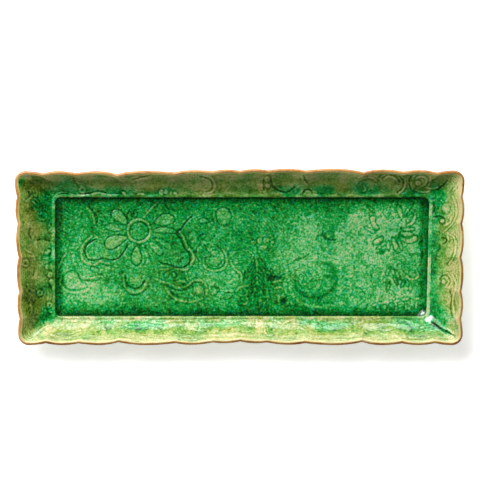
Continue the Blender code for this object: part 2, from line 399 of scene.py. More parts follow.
def draw_left_motifs():
    """The scoop and paisleys under the daisy, the blade above it, and the feathered corner at the left."""
    groove([(-90.3, -14.5), (-90.2, -18.5), (-88, -22), (-84.5, -24.2), (-81, -24.3), (-77.5, -22),
            (-75.5, -18.5)], 1.2, 0.65)
    ridge([(-91.8, -17.5), (-91, -22.5), (-88, -26), (-83.5, -28), (-79, -27), (-75.5, -24), (-73.5, -20),
           (-72, -17)], 1.0, 0.6)
    groove([(-92, -23.5), (-89, -27.7), (-84, -29.8), (-79, -28.9), (-74.5, -26), (-72, -22.3)], 0.9)
    petal([(-88.6, -15), (-88.2, -19), (-84.8, -22.2), (-80.8, -22.2), (-77.6, -18.6), (-78.5, -14.2),
           (-83.5, -12.6)], 0.7, 0.3)
    petal([(-139.3, -16), (-139.5, -20.5), (-136, -24.5), (-131, -25.8), (-125, -25.3), (-120, -23.4),
           (-123.5, -20), (-126.4, -17.6), (-127.6, -14), (-130, -11), (-134, -10.6), (-137.6, -13)],
           0.7, 0.7)
    ridge([(-141.3, -15), (-141.4, -21), (-137.8, -26), (-131.5, -28), (-124.5, -27.6), (-118.5, -25.4)],
           0.8)
    ridge([(-126.5, -12.3), (-124.6, -15.2), (-121, -16.6), (-116, -16.2), (-111.5, -15)], 0.9)
    groove([(-127.4, -15), (-125, -17.7), (-121, -18.5), (-116, -18.6), (-112, -17.9), (-109.8, -16.3)])
    petal(oval((-114.6, -9.6), (3.6, 2.2), -15), 0.7, 0.8)
    ridge([(-104, -14.6), (-100.5, -12.6), (-96.5, -14), (-94.2, -18)], 0.6)
    # the blade that points out of the daisy's upper left
    groove([(-120, 43), (-118, 39), (-114.6, 35), (-112.6, 31), (-112.8, 27)], 1.1)
    ridge([(-121.4, 39.8), (-118.6, 36.4), (-116, 32.4), (-114.8, 26.5)], 1.0, 0.55)
    groove([(-124.4, 38.4), (-121, 34.6), (-118.6, 30), (-117, 24)], 0.6)
    ridge([(-117.5, 24.6), (-113, 23.6), (-108.6, 20.6), (-104, 21.2)], 0.7)
    for step in range(9):
        # feathered ribs in the corner, leaning two ways from a middle vein
        y = 42.5 - 2.9 * step
        groove([(-143.5, y), (-139.2, y - 1.6), (-134.6, y - 4.4)], 0.55, 0.4)
        if step < 7:
            groove([(-126, y + 0.8), (-129.4, y - 1.2), (-132.6, y - 4.2)], 0.5, 0.4)
    ridge([(-134.5, 42), (-133.4, 34), (-133.6, 26), (-135.4, 17)], 0.5)
    ridge([(-137, 3.5), (-139.6, -1), (-142.6, -6.6), (-145, -11.4)], 0.8)
    ridge([(-132, 9.6), (-126.8, 11.2), (-121.5, 13.2), (-116.6, 16.6)], 0.6)
    ridge([(-130.6, 3), (-131.4, -2.5), (-129.2, -7)], 0.5, 0.8)


def draw_lower_middle_motifs():
    """The paisley and the comma between the daisy and the fern."""
    ridge([(-67, -17), (-60.5, -19.4), (-55.2, -21), (-50, -23.4), (-45, -23.8), (-41, -22), (-38.8, -19.6),
           (-35.6, -18.1), (-31, -18.1), (-27.8, -20.4), (-26, -25), (-26.4, -30)], 0.9)
    groove([(-62.4, -21), (-57, -22.7), (-52, -25.1), (-47, -26.1), (-42, -25.4), (-39.8, -22.9),
            (-37, -20.3), (-33, -19.8), (-29.8, -21.6), (-28, -25.4), (-28.3, -29.6)])
    petal(oval((-33.2, -26), (4.2, 4.6), count=10), 0.8, 0.6)
    ridge([(-59, -23.8), (-55.4, -29), (-51, -32.6), (-46, -34.6), (-40, -35.2), (-34.6, -34.2),
           (-29.6, -32.2)], 0.9, 0.6)
    groove([(-57, -22.8), (-53.4, -27.7), (-49.4, -30.8), (-44.5, -32.3), (-39.5, -32.2)], 0.8)
    petal(oval((-57.8, -13.6), (2.9, 2.0), 60), 0.6, 0.8)
    petal(oval((-51.8, -13.8), (2.6, 1.9), 130), 0.6)
    ridge([(-50, -19.5), (-46.4, -18.6), (-43, -19.4)], 0.8, 0.6)
    # the comma
    ridge([(-24.6, 9.4), (-22.4, 5.2), (-19.8, 1.5)], 0.9, 0.45)
    groove([(-28.4, 10.2), (-26.2, 5.6), (-22.6, 1.6), (-24.4, 0.2), (-27, -0.2), (-27.3, -3.6),
            (-24.4, -7.6), (-19.5, -9), (-14.4, -7.4), (-12, -2.8), (-12.9, 2.6), (-16, 7), (-19.5, 10.4)])
    ridge([(-28.8, -1.4), (-28.7, -5.4), (-26, -9.2), (-21, -10.8), (-16, -10.4), (-12, -7.8),
           (-10.4, -3.4), (-11.2, 1.6), (-13.6, 6)], 0.9)
    petal(oval((-19.6, -3.2), (5.0, 4.0), 10), 0.7, 0.5)
    petal(oval((-31.8, 6.2), (2.6, 3.4), -20), 0.5, 0.7)
    petal(oval((-20.6, -27.2), (3.3, 3.0), 20), 0.6, 0.8)
    groove([(-22.6, -23.6), (-19.6, -23), (-16.6, -24.8), (-16, -28)])


def draw_upper_middle_motifs():
    """The slanting cut, the round bud and the leaves above the comma."""
    groove([(-49.6, 19.6), (-46.4, 22.6), (-43.6, 26.6), (-40.6, 29.9), (-37.8, 32.6)], 1.2, 0.6)
    petal(oval((-28.8, 28.8), (3.5, 2.4), 10), 0.8, 0.8)
    petal(leaf((-24, 31.5), (-20.8, 25), 3.0), 0.6, 0.7)
    petal([(-18.6, 36.6), (-14, 39.6), (-9.2, 38), (-6.8, 32.6), (-8.6, 27.4), (-12.6, 25), (-17, 27.4),
           (-18.8, 31.8)], 0.8, 0.8)
    ridge([(-20.6, 36), (-20.2, 30.4), (-17.6, 25.6), (-12, 22.8), (-6.6, 25.4)], 0.6)
    ridge([(-4.8, 26.4), (-4.8, 22.8), (-2.8, 20), (0.4, 18.4)], 0.8, 0.45)
    petal([(-40.6, 18.6), (-36, 21), (-33, 17.6), (-33.2, 12.6), (-36, 9.4), (-39.6, 12.4)], 0.7, 0.5)
    petal(leaf((-32.6, 17), (-23.4, 13), 4.4, 0.8), 0.5, 0.6)


def draw_fern():
    """The upright fern in the middle, with prongs at its right and curls at its left, and the bow over it."""
    ridge([(13.2, -2), (13.5, -9), (13.3, -15), (13.8, -20), (14.2, -23.6)])
    petal([(11.2, 0.6), (9.2, -3), (8.4, -7), (6.4, -10), (7, -12.2), (9.7, -8.4), (11.2, -4.4)], 1.0, 0.8)
    petal([(14.8, -0.6), (17.7, -2.8), (19.8, -6), (21.8, -9), (22, -11), (18.4, -7.6), (15.6, -4.2)],
           1.0, 0.8)
    petal(leaf((4.0, -11.2), (5.8, -17), 2.2), 1.0)
    petal(leaf((24.4, -8.6), (25.8, -14.2), 2.2), 1.0)
    for step in range(5):
        y = -7.5 - 3.6 * step
        groove([(13.0, y), (10.4, y - 3.2), (8.6, y - 7.4)], 0.9, 0.45)
        groove([(14.2, y - 0.6), (17.4, y - 3.8), (19.4, y - 8)], 0.9, 0.45)
        ridge([(12.0, y - 1.8), (9.3, y - 5.6)], 0.5, 0.4)
        ridge([(15.4, y - 2.6), (18.2, y - 6.4)], 0.5, 0.4)
    hollow([(20.6, -13), (27.6, -14), (33, -14.4), (33, -17), (27, -17.6), (21.6, -19)], 0.8)
    ridge([(26.3, -20), (29, -18.8), (32, -18.5), (34.4, -20), (35.1, -22.4)], 1.1, 0.55)
    ridge([(27.6, -24.4), (30, -23.8), (33, -24.1), (35.4, -26), (36.5, -28.8)], 1.1, 0.55)
    ridge([(28.6, -29.6), (31, -30.9), (30.2, -33.6), (30.8, -37.2)])
    hollow(oval((34.4, -34.4), (2.6, 2.8)), 1.0)
    ridge(oval((34.4, -34.4), (3.9, 4.1), count=12), 0.9, 0.5, closed=True)
    ridge([(35.2, -19), (36.6, -25), (38.2, -30), (39.8, -34), (42, -37.6)], 0.9, 0.8)
    ridge([(21.4, -25), (21.8, -31), (22, -37)], 0.7, 0.55)
    petal(leaf((15.6, -29), (16, -40), 4.4), 0.8, 0.7)
    # curls at the left of the stem
    ridge([(-2.9, -27), (-0.4, -23.9), (3, -22.9), (6.4, -22.2)], 1.1, 0.6)
    ridge([(4.8, -25.6), (5.8, -28.6), (3.2, -30.6), (0.2, -29.6)], 1.0, 0.6)
    ridge([(-3.6, -30.6), (-0.8, -33.6), (0.2, -37)], 1.0, 0.6)
    ridge([(1.6, -33), (4.8, -32), (6.1, -34.6), (3.8, -37), (1.2, -36.2)], 1.0, 0.6)
    petal(oval((-9.6, -30.6), (3.6, 2.6), 30), 0.7, 0.7)
    # the bow and the beads over the fern
    ridge([(-7.2, -2.4), (-6.6, -6), (-4, -9), (-0.6, -12), (1.3, -15), (0.8, -18.6)], 1.0, 0.6)
    petal(oval((-3.2, -3.6), (3.0, 2.6), -30), 0.8, 0.5)
    ridge([(-0.6, 5.2), (4, 5.8), (8, 4.2), (10.6, 1.6)], 0.7)
    petal(leaf((22.6, 5.6), (26.6, 14.4), 3.4), 0.5, 0.5)
    for middle, radii, angle in (
            ((20.6, 13.4), (1.8, 1.2), 20),
            ((15.6, 13.2), (1.3, 1.3), 0),
            ((10.6, 11.5), (1.2, 1.0), 0),
            ((18.0, 7.8), (2.4, 0.9), 10),
            ((25.4, 13.2), (1.0, 1.6), 0),
    ):
        ridge(oval(middle, radii, angle, 6), 0.9, 0.6, closed=True)


def draw_rosette():
    """The spiral rosette right of the fern, and the faint rings round it."""
    middle = (52.8, -17.2)
    groove(spiral(middle, 2.0, 11.2, 1.9, 200, 26), 0.7)
    ridge(spiral(middle, 3.4, 12.8, 1.7, 215, 24), 0.6)
    groove([(44, -14), (44, -24), (52, -31), (64, -31), (74, -24), (76, -14), (70, -6), (58, -5)], 0.6, 1.2)
    ridge([(37, -8), (38, -22), (44, -33), (56, -38.5), (70, -39), (82, -36)], 0.5, 1.1)
    ridge([(50, -12), (50, -22), (58, -27), (68, -24), (70, -15), (63, -10)], 0.5, 0.9)
    groove([(36.4, -6.6), (40.6, -4.5), (44.8, -1.9), (49.4, -0.4), (54, 2.2)], 1.0, 0.55)
    ridge([(38, -8.8), (43.6, -5.6), (49.6, -3), (55.6, -2.6)], 0.7)
    # the small dark figure above it
    groove([(59.8, 13.6), (61, 16.9), (64, 17.6), (65.3, 20.6)], 1.1, 0.55)
    groove([(65.4, 17.6), (67.4, 14.8), (71, 13.8), (75.6, 14)], 1.2, 0.6)
    petal(oval((70.6, 18), (3.6, 2.6), 10), 0.6, 0.8)
    ridge([(78.4, 24.6), (81, 21.4), (82.4, 16.6), (82, 10.6)], 0.5)


def draw_chrysanthemum():
    """The many-petalled flower at the right of the well."""
    lower_right = [(124.6, 17.8), (127, 13.6), (131, 11.1), (136, 11), (139.6, 13), (140.4, 15.6),
                   (138.6, 17.6), (134.6, 15.3), (130, 15.3)]
    petal(lower_right, 1.0, 1.2)
    petal([(126, 19.6), (129.6, 16.6), (133.6, 16.4), (137.4, 18.4), (134.4, 19.8), (130, 20.3)], 0.9, 1.1)
    petal([(126.4, 23), (129.6, 21), (134, 20.8), (138.2, 21.6), (137, 23.4), (132, 23.3)], 1.0, 1.1)
    petal([(130.6, 25), (134.6, 24.7), (138.4, 28), (139.6, 33), (137.8, 37), (136.8, 32.4), (134.6, 28.2)],
           1.0, 1.0)
    petal([(131, 27.2), (133.8, 29), (135.6, 33), (135.4, 35.6), (132.8, 32)], 0.9)
    petal([(129.4, 31), (131.8, 34), (135.6, 39.4), (136.6, 42), (133, 40.4), (130.2, 36)], 0.8, 0.8)
    petal([(126.8, 29.4), (128.4, 33.4), (127.6, 38), (125.4, 41.6), (123.2, 39.6), (124.4, 35)], 0.9)
    petal([(122, 30.4), (123, 34), (121.6, 38.6), (119, 40.4), (118.4, 36.6), (120, 32.6)], 0.7, 0.6)
    petal([(117.4, 30), (117.4, 34.4), (115.4, 38.2), (113.2, 37.6), (113.8, 33)], 0.7, 0.6)
    petal([(102.3, 31), (104.6, 32.9), (107.3, 31.2), (107.2, 27.6), (109.8, 22.8), (107, 21), (103.6, 26)],
           0.9, 1.1)
    petal([(97.4, 24.4), (100.5, 21.4), (104.4, 18.9), (108, 19.6), (104.6, 21.6), (101, 24)], 1.0, 0.8)
    petal([(112.4, 16.8), (108.4, 15.2), (105, 12.7), (105.4, 9.7), (109.4, 10.4), (112.8, 13.4)], 0.9, 1.1)
    petal([(115, 14), (113.6, 9.4), (110, 6.6), (107.2, 6.8), (109.4, 9), (112.4, 11.4)], 0.8)
    petal([(117.4, 13.4), (118.8, 9.2), (117.4, 5), (115.4, 7.6), (115.6, 11)], 0.7)
    petal([(120.4, 16.4), (123.6, 12), (124.6, 7.4), (122, 5), (120.6, 9.4), (119.4, 13)], 0.8, 1.0)
    petal([(122.4, 17), (126.4, 12.6), (128.6, 8.4), (127.8, 4.6), (125.8, 7.4), (124.6, 12)], 0.9, 1.1)
    hollow([(105.6, 4.2), (110, 5.4), (113.4, 7.4), (115.4, 4.4), (112.4, 1.6), (108.6, 2.6)], 0.9)
    petal([(100.8, 40.4), (103.2, 40), (105.6, 37.6), (105.9, 34.8), (102.8, 37)], 1.0)
    groove([(88, 16.6), (90, 13.2), (93, 11), (97, 10.6), (100.4, 12.4)], 0.6)
    petal([(90, 16), (93.4, 18.6), (98, 17.4), (99.6, 14), (95.6, 12.4), (91.6, 13)], 0.4, 0.4)


def draw_lower_right_motifs():
    """The curled leaves under the chrysanthemum, and the row of lobes along the well's lower right edge."""
    ridge([(118, -0.6), (122, 1.2), (127.4, 2.8), (131, 2)], 0.7)
    groove([(118, -2.6), (122.6, -1.6), (127, -2.8), (130, -6)], 0.7)
    petal([(119.4, -7), (116.2, -9.4), (114.7, -12.6), (116.4, -15), (117.8, -11.6)], 0.9)
    petal(leaf((122, -9.2), (126.4, -18), 2.6), 1.0, 1.1)
    petal(leaf((120.8, -13.8), (124.6, -22.2), 2.5), 1.0, 1.1)
    petal(leaf((118.6, -19), (115.6, -27.6), 2.6), 0.8)
    petal(leaf((130.6, -17), (127, -24), 2.6), 0.7)
    petal([(128.6, -9.6), (131, -12.8), (133, -12), (133, -8.6), (130.6, -7.6)], 0.9, 0.6)
    ridge([(131.6, -15), (134.4, -17.6), (138, -17.1), (140.6, -14.6), (139.6, -11.4)], 1.0, 0.6)
    petal(leaf((134.6, -20), (134.2, -28), 3.0), 0.7, 0.7)
    petal(leaf((138, -20.6), (138.6, -29), 2.8), 0.7, 0.6)
    groove([(90.4, -23.4), (94, -24), (97, -26.6), (98.6, -29.8)], 0.9)
    ridge([(105.4, -38), (110, -36.4), (116, -35.2), (122, -34.8), (128, -33.6), (134, -32.8)], 0.9, 0.6)
    for middle, radius, depth in (
            ((108.9, -39.6), 2.2, 0.9),
            ((113.9, -39.8), 2.3, 0.9),
            ((119.7, -38.6), 2.5, 1.0),
            ((127.2, -37.6), 2.9, 1.0),
            ((134.8, -36.6), 3.3, 1.0),
    ):
        arch = [(middle[0] + radius * math.cos(math.radians(theta)), middle[1] + 1.25 * radius *
                math.sin(math.radians(theta))) for theta in range(-40, 221, 26)]
        groove(arch, depth, 0.6)
        petal(oval((middle[0], middle[1] - 0.5), (0.5 * radius, 0.6 * radius)), 0.9, 0.5)
        top = (middle[0] + 1.35 * radius, middle[1] + 1.0)
        ridge([top, (middle[0] + 1.25 * radius, middle[1] - 3.4)], 0.9)


def draw_back_wall():
    """The waves, beads, loops and nested arches on the wall at the back."""
    for arc in (
            ((-145.3, 49.5), (-142, 50.7), (-138.6, 51), (-134, 50.2), (-131.2, 48.8)),
            ((-144.8, 47.6), (-140.8, 49.3), (-136.3, 49.3), (-131.8, 47.5)),
            ((-128, 47.6), (-123.9, 48.5), (-119.4, 48.6), (-116, 49.9), (-111.5, 50.8), (-107, 49.8),
             (-101.4, 49), (-93.5, 49)),
            ((-130.7, 59.2), (-126, 58.2), (-121.7, 59.5)),
            ((-130, 57.5), (-126, 56.4), (-122.3, 57.6)),
            ((-163, 52.6), (-162.3, 49.6), (-160.5, 47.6)),
            ((-81.3, 49), (-78, 50.1), (-74, 49)),
            ((-29.5, 65), (-24.4, 63.6), (-21, 60.4), (-19.6, 56.5), (-21.2, 52.2), (-25.6, 50.2)),
            ((93, 62.9), (97, 64.6), (104.9, 64.6), (109.8, 62.6), (112, 59.6)),
            ((95.3, 61.2), (99.3, 62.8), (104.3, 62.5), (107.6, 60.3)),
            ((130.2, 61.6), (130.5, 57.4), (128.9, 53.6), (125.6, 50.4)),
            ((113.4, 61), (117, 63.6), (122, 62), (125, 58.6)),
            ((135.9, 61.6), (138.7, 65), (144.3, 66.1), (149.4, 64.4), (150.4, 60.5), (148.8, 56.5)),
            ((139, 61.6), (142.6, 63.8), (146.8, 61.8), (146.4, 57.6), (142.4, 55.6)),
            ((138.7, 52.8), (144.3, 51.4), (150, 52.4)),
            ((147, 55), (151.6, 54), (156, 55.4)),
            ((175.2, 63.6), (171.6, 57.2), (168, 52.6)),
            ((97.4, 56.8), (99.2, 53.6), (97, 51.8)),
    ):
        ridge(arc, 0.9)
    for line in (
            ((-131.9, 66), (-131.3, 61.3), (-129.5, 57.9), (-127, 55.4)),
            ((50, 65.4), (51.3, 61.3), (53.7, 58.3)),
            ((-85, 61), (-78, 63), (-68, 65.2), (-60, 65.6)),
            ((-31.6, 63.6), (-25.6, 62), (-22.6, 59.4), (-21.8, 56.4), (-23.4, 53), (-27, 51.6)),
            ((18.6, 61), (18.4, 56.6), (19, 53)),
            ((24.2, 63), (25, 58.7), (26.6, 55.1), (30.4, 52.8), (35.5, 51.2), (39.4, 52.6), (43, 55.4)),
            ((49.6, 50), (50.7, 52.4), (53.5, 53.6), (56.3, 52.4), (57, 50.2)),
            ((108.9, 62.7), (112.8, 65.6), (119.5, 66), (125.2, 64.2), (128.6, 60.8), (128.9, 57.4),
             (127, 53.6), (124, 51)),
            ((112.6, 62.6), (117.4, 65), (123, 63.6), (126.2, 59.4)),
            ((134.6, 64), (133.4, 59), (134.8, 54)),
            ((-145.6, 48.4), (-140.8, 50.2), (-136.3, 50.1), (-131, 47.6), (-127, 46.6)),
            ((163.4, 60.4), (160, 56.8), (155.4, 53)),
            ((-127.6, 49), (-122, 50), (-117.6, 51), (-112, 52.2), (-106, 51)),
    ):
        groove(line, 0.9, 0.55)
    for middle, radii in (
            ((-62.2, 50.9), (1.2, 1.5)),
            ((-58.2, 51.6), (1.2, 1.2)),
            ((-54.6, 50.7), (0.7, 0.8)),
            ((-51.4, 50.4), (0.9, 0.7)),
            ((-91.8, 50), (0.9, 1.1)),
            ((-124.5, 53.2), (2.0, 2.2)),
            ((21.6, 61.6), (1.2, 1.8)),
            ((21.8, 56.6), (1.0, 1.2)),
            ((140.6, 58.4), (1.5, 1.1)),
    ):
        ridge(oval(middle, radii, count=8), 1.0, 0.6, closed=True)


def draw_front_wall():
    """Long soft waves, arcs and a few small figures on the wall at the front."""
    for arc in (
            ((-149.8, -60.8), (-144.2, -62.5), (-138.6, -63.7), (-134, -63.1), (-129.5, -60.8),
             (-125.6, -59.4)),
            ((-161, -60.8), (-155.5, -56.3), (-151, -54.2), (-147.6, -53.6)),
            ((13.8, -48.8), (12.8, -54.6)),
            ((25.4, -48.6), (29.3, -50.3), (32.4, -52.6)),
            ((35, -52.4), (39.4, -50.3), (45, -50.1), (50.7, -51.3), (54.4, -53.8)),
            ((126.3, -50.3), (130.8, -49.8), (134.8, -51.4), (136.8, -54.6)),
            ((42, -54.6), (46.6, -55), (51, -57)),
            ((62.4, -55.2), (66, -53), (71.4, -51.5), (78, -51.8)),
            ((99.3, -58.3), (103.8, -60.6), (108.3, -62.3)),
            ((103.2, -60), (106.6, -63.4), (111.7, -63.9), (114.5, -66)),
            ((123.2, -62.2), (127, -64.4), (129, -66.4)),
            ((142.2, -55.2), (147, -54.4), (152.4, -55.6), (156, -57.4)),
            ((142, -57.8), (148, -56.8), (154, -58.2)),
            ((142.4, -60.2), (148.4, -59.2), (155, -60.4)),
            ((-120.6, -50.2), (-116, -51.6), (-110, -51)),
            ((-101, -51), (-95.6, -54.4), (-90, -53.6)),
            ((-70, -51), (-62, -52.2), (-55, -50.6)),
            ((-34, -50), (-31.6, -53.6), (-32.6, -57.4)),
            ((88, -51), (93, -52.4), (97, -50.8)),
            ((-12, -49.6), (-6, -51.4), (-1.4, -50)),
    ):
        ridge(arc, 0.8, 0.55)
    for line in (
            ((-142, -60.4), (-135.2, -61.4), (-130.1, -60.1), (-126.2, -58.6)),
            ((-160, -61.6), (-156, -62.8), (-152.4, -61.8)),
            ((61.4, -54), (64.8, -51.8), (70.4, -50.2), (77.2, -50.5)),
            ((124, -50.9), (128.6, -51.5), (133, -52.6), (135.1, -55.5), (133.2, -58.3), (131.6, -61.7),
             (133, -64.5), (136, -66.2)),
            ((151.7, -52.4), (157.3, -55.5), (162.9, -58), (168, -61.4), (171.4, -65.4)),
            ((137.6, -61.6), (142, -62.8), (147.4, -62.4)),
            ((-4, -58.3), (0.6, -58.7), (4.9, -60)),
            ((-107, -53), (-105, -56), (-105.6, -58.4)),
            ((-38, -57), (-33, -59), (-27, -58.6)),
            ((-88, -55.6), (-80, -56.6), (-72, -56)),
            ((108, -57), (114, -58.6), (120, -57.6)),
    ):
        groove(line, 0.8, 0.6)
    ridge([(19.7, -56.3), (19.9, -58.9), (22, -61.2), (24.8, -61.2), (26.9, -59.4), (26.5, -57)], 0.9)


def draw_left_wall():
    """A curl, beads and a small leaf beside the well's left edge, and short ripples below the rim."""
    for arc in (
            ((-158, 33.7), (-155.8, 35.4), (-152.6, 33.7), (-153, 30.9), (-155.2, 29.4), (-158.4, 30.3)),
            ((-163.6, 44.4), (-160.4, 41), (-158.8, 43.4), (-161, 45.6)),
            ((-149.6, 27.5), (-150.7, 25.2), (-148.8, 23.5), (-150.2, 21.3), (-148.6, 20.2)),
            ((-170, 7.6), (-167.6, 4.6), (-164, 3.4)),
            ((-170.4, -22.7), (-168.6, -26), (-166.5, -28.9)),
            ((-168, -21), (-165, -25.4), (-161.4, -26.4)),
            ((-149.8, -25), (-149, -29), (-149.6, -33.4)),
            ((-151.8, -24), (-151.2, -29), (-151.6, -34)),
            ((-165.6, -37), (-164.4, -41), (-165.4, -46)),
            ((-160.6, -46), (-157, -50), (-155.6, -54)),
    ):
        ridge(arc, 0.9)
    for line in (
            ((-174, 21), (-172, 23.6), (-170.6, 27.6)),
            ((-162, -9.2), (-163, -14.8)),
            ((-150.7, -20.4), (-148.6, -23.8), (-147.8, -28.9), (-148.6, -33.4)),
            ((-160, 13.6), (-155, 14.2), (-150.4, 12.8)),
            ((-161, -26), (-159.6, -31.2), (-156, -30.6)),
            ((-169, 46), (-165.6, 49), (-167, 52)),
            ((-164.6, 15), (-166.6, 18.6), (-165.6, 23)),
    ):
        groove(line, 1.0, 0.6)
    for middle, radii in (
            ((-169.3, -4.6), (2.0, 2.2)),
            ((-158, -28.3), (1.6, 1.7)),
            ((-150.2, -37.9), (1.7, 1.6)),
            ((-149.6, -13.9), (1.3, 1.3)),
            ((-149.4, -42.4), (0.9, 1.0)),
            ((-148.8, -19.6), (0.7, 1.9)),
            ((-151.9, -7.6), (0.8, 1.2)),
            ((-149.2, -7.4), (0.7, 1.8)),
    ):
        ridge(oval(middle, radii, count=8), 1.1, 0.65, closed=True)
    petal([(-154.6, 2.1), (-153.4, 6), (-149.8, 6.8), (-148.6, 5), (-151.6, 1)], 1.2, 0.7)


def draw_right_wall():
    """Three scrolls and the long curves that sweep from one to the next below the rim."""
    for sweep in (
            ((167.8, 48.3), (169.5, 43.8), (171, 38.7), (170.4, 33.1), (168, 27), (163.3, 22.2), (160.5, 20)),
            ((163.6, 19.4), (168, 16.6), (170.2, 11.7), (169.8, 4.9), (168, -0.7), (165, -5.6)),
            ((160.5, -13.1), (166, -12.6), (168.9, -16.5), (170.4, -21.6), (169.4, -27)),
    ):
        ridge(sweep)
        groove([(x + 1.2, y) for x, y in sweep], 0.8, 0.45)
        ridge([(x + 2.4, y + 0.3) for x, y in sweep[:-1]], 0.7, 0.45)
        groove([(x - 1.2, y) for x, y in sweep[1:-1]], 0.6, 0.45)
    for arc in (
            ((161, 24.8), (165.2, 27.4), (166.8, 31.4)),
            ((158.6, 20.4), (163, 18), (165, 13.6)),
            ((167.4, -22.6), (168.6, -29), (167.6, -36), (169, -44)),
            ((158.6, 45), (162, 42), (166, 41.6)),
            ((170.6, -34), (171.6, -41), (170.6, -48), (172, -54)),
    ):
        ridge(arc, 0.8)
    for line in (
            ((152.8, 31.4), (156.5, 32.5), (160.3, 31.4), (161.9, 28.6), (160.6, 26.2)),
            ((159.9, 10.6), (162.1, 11.6), (163, 13.4), (161.6, 15.1), (159.2, 15.6)),
            ((157.6, -17), (159.9, -14.4), (163.6, -14.9), (165.9, -18.7), (164.4, -22.5)),
            ((152.6, 43), (153.7, 39), (152.3, 35)),
            ((165.6, -26), (166.8, -33), (166.2, -40), (167.8, -48)),
    ):
        groove(line, 0.9)
    for middle, radii in (((159.6, 28.6), (0.9, 0.8)), ((160.6, -19.3), (0.8, 0.8))):
        ridge(oval(middle, radii, count=6), 1.1, 0.6, closed=True)
    petal(oval((162.4, 38.6), (3.6, 4.4)), 0.8, 0.4)


for draw in (draw_big_flower, draw_left_motifs, draw_lower_middle_motifs, draw_upper_middle_motifs, draw_fern,
             draw_rosette, draw_chrysanthemum, draw_lower_right_motifs, draw_back_wall, draw_front_wall,
             draw_left_wall, draw_right_wall):
    draw()


# --- how deep the glaze lies ----------------------------------------------------------------------

CAMERA_HEIGHT = 4.208  # above the rim, in metres
CAMERA_PLACE = (0.26, 13.35)  # over the plan, in millimetres
PATTERN_SHIFT = (0.26, -0.30)


def seen_place(x, y, z):
    """Where a point falls on the rim's plane as the camera sees it, in the pattern's millimetres."""
    share = CAMERA_HEIGHT / (CAMERA_HEIGHT + RIM_TOP - z)
    u = CAMERA_PLACE[0] + (x / MM - CAMERA_PLACE[0]) * share
    v = CAMERA_PLACE[1] + (y / MM - CAMERA_PLACE[1]) * share
    return u - PATTERN_SHIFT[0], v - PATTERN_SHIFT[1]


def lace(x, y):
    """The small irregular creases and grains of pressed lace between the motifs, from -1 to 1."""
    warp_x = x + 1.6 * value_noise(x, y, 4.5, 11)
    warp_y = y + 1.6 * value_noise(x, y, 4.5, 12)
    creases = 1.0 - 3.2 * np.abs(layered_noise(warp_x, warp_y, 2.9, 21, 2))
    grains = value_noise(x, y, 1.25, 31)
    return np.clip(0.7 * creases + 0.6 * grains, -1.3, 1.0)


def hatching(x, y):
    """Fine pressed hatching that fans out this way and that in patches, from -1 to 1."""
    turn = 1.1 * value_noise(x, y, 24.0, 13) + 0.9
    across = x * np.cos(turn) + y * np.sin(turn)
    lines = np.sin(2 * np.pi * (across + 0.5 * value_noise(x, y, 3.0, 14)) / 2.1)
    return lines * smoothstep(-0.5, 0.5, value_noise(x, y, 15.0, 15))


PALE_PLACES = (
    # middle, radii, how much thinner the glaze is
    ((112, 18), (30, 26), 0.10), ((92, 4), (20, 20), 0.06), ((104, -26), (36, 12), 0.03),
    ((50, 4), (19, 22), 0.13), ((-118, -30), (24, 9), 0.17), ((-126, -8), (18, 20), 0.10),
    ((-76, -22), (22, 12), 0.04), ((-82, 6), (26, 16), 0.05), ((-20, -6), (20, 22), 0.04),
    ((126, -34), (20, 9), 0.10), ((55, -14), (26, 20), 0.07), ((58, 28), (22, 13), 0.07),
    ((0, -24), (26, 16), 0.06), ((50, -41), (30, 5), 0.07), ((108, -41), (30, 5), 0.06),
    ((-16, 30), (34, 14), 0.04), ((-122, -16), (16, 12), 0.06), ((108, 33), (30, 8), 0.06),
    ((16, -22), (12, 16), -0.14), ((-8, -22), (9, 12), 0.05), ((-10, -8), (24, 12), 0.05),
)


def floor_depth(x, y, height):
    """The well glaze's depth, 0 thin to 1 deep, at the pattern's places."""
    ends, sides = np.minimum(x + 147.5, 148.5 - x), np.minimum(48.6 - y, y + 47.2)
    ends = ends + 2.0 * layered_noise(x, y, 9.0, 53, 2)
    pool = np.maximum(smoothstep(9.0, 5.0, ends), smoothstep(8.0, 1.0, sides))
    depth = 0.52 + 0.26 * pool + 0.10 * smoothstep(3.0, 0.0, np.minimum(ends, sides))
    # the paler ground behind the chrysanthemum has a rather sharp left edge
    ground = smoothstep(-2.0, 2.0, x - 76 - 9 * smoothstep(18, 26, y) + 3.0 * value_noise(x, y, 9.0, 54))
    depth -= 0.12 * ground * smoothstep(44, 38, y) * smoothstep(-43, -36, y)
    depth += 0.13 * smoothstep(28, 44, y) + 0.08 * smoothstep(-34, -41, y)
    depth += 0.06 * layered_noise(x, y, 22.0, 51, 3)
    for middle, radii, thinner in PALE_PLACES:
        depth -= thinner * spot(x, y, middle, radii)
    return np.clip(depth - 0.34 * height, 0.0, 1.0)


# --- meshes from rings and grids of points --------------------------------------------------------

def make_object(name, points, faces, material, values=None):
    """A smooth mesh object whose points carry the named values that its material reads."""
    mesh = bpy.data.meshes.new(name)
    mesh.from_pydata(points.tolist(), [], faces)
    mesh.materials.append(material)
    mesh.shade_smooth()
    for key, numbers in (values or {}).items():
        attribute = mesh.attributes.new(key, 'FLOAT', 'POINT')
        attribute.data.foreach_set("value", np.asarray(numbers, np.float32))
    made = bpy.data.objects.new(name, mesh)
    bpy.context.scene.collection.objects.link(made)
    return made


def glazed_object(name, seen, hidden, faces, material, depth, olive, hidden_values):
    """A glaze's object: the seen points with their depth and olive, and hidden ones with one value each; on
    the walls the depth holds painted shade and light as well.
    """
    points = np.concatenate([seen.reshape(-1, 3), hidden.reshape(-1, 3)])
    rest = np.ones(hidden.size // 3)
    hidden_depth, hidden_olive = hidden_values
    return make_object(name, points, faces, material,
                       {"glaze_depth_and_shading": np.concatenate([depth.ravel(), hidden_depth * rest]),
                        "olive": np.concatenate([olive.ravel(), hidden_olive * rest])})


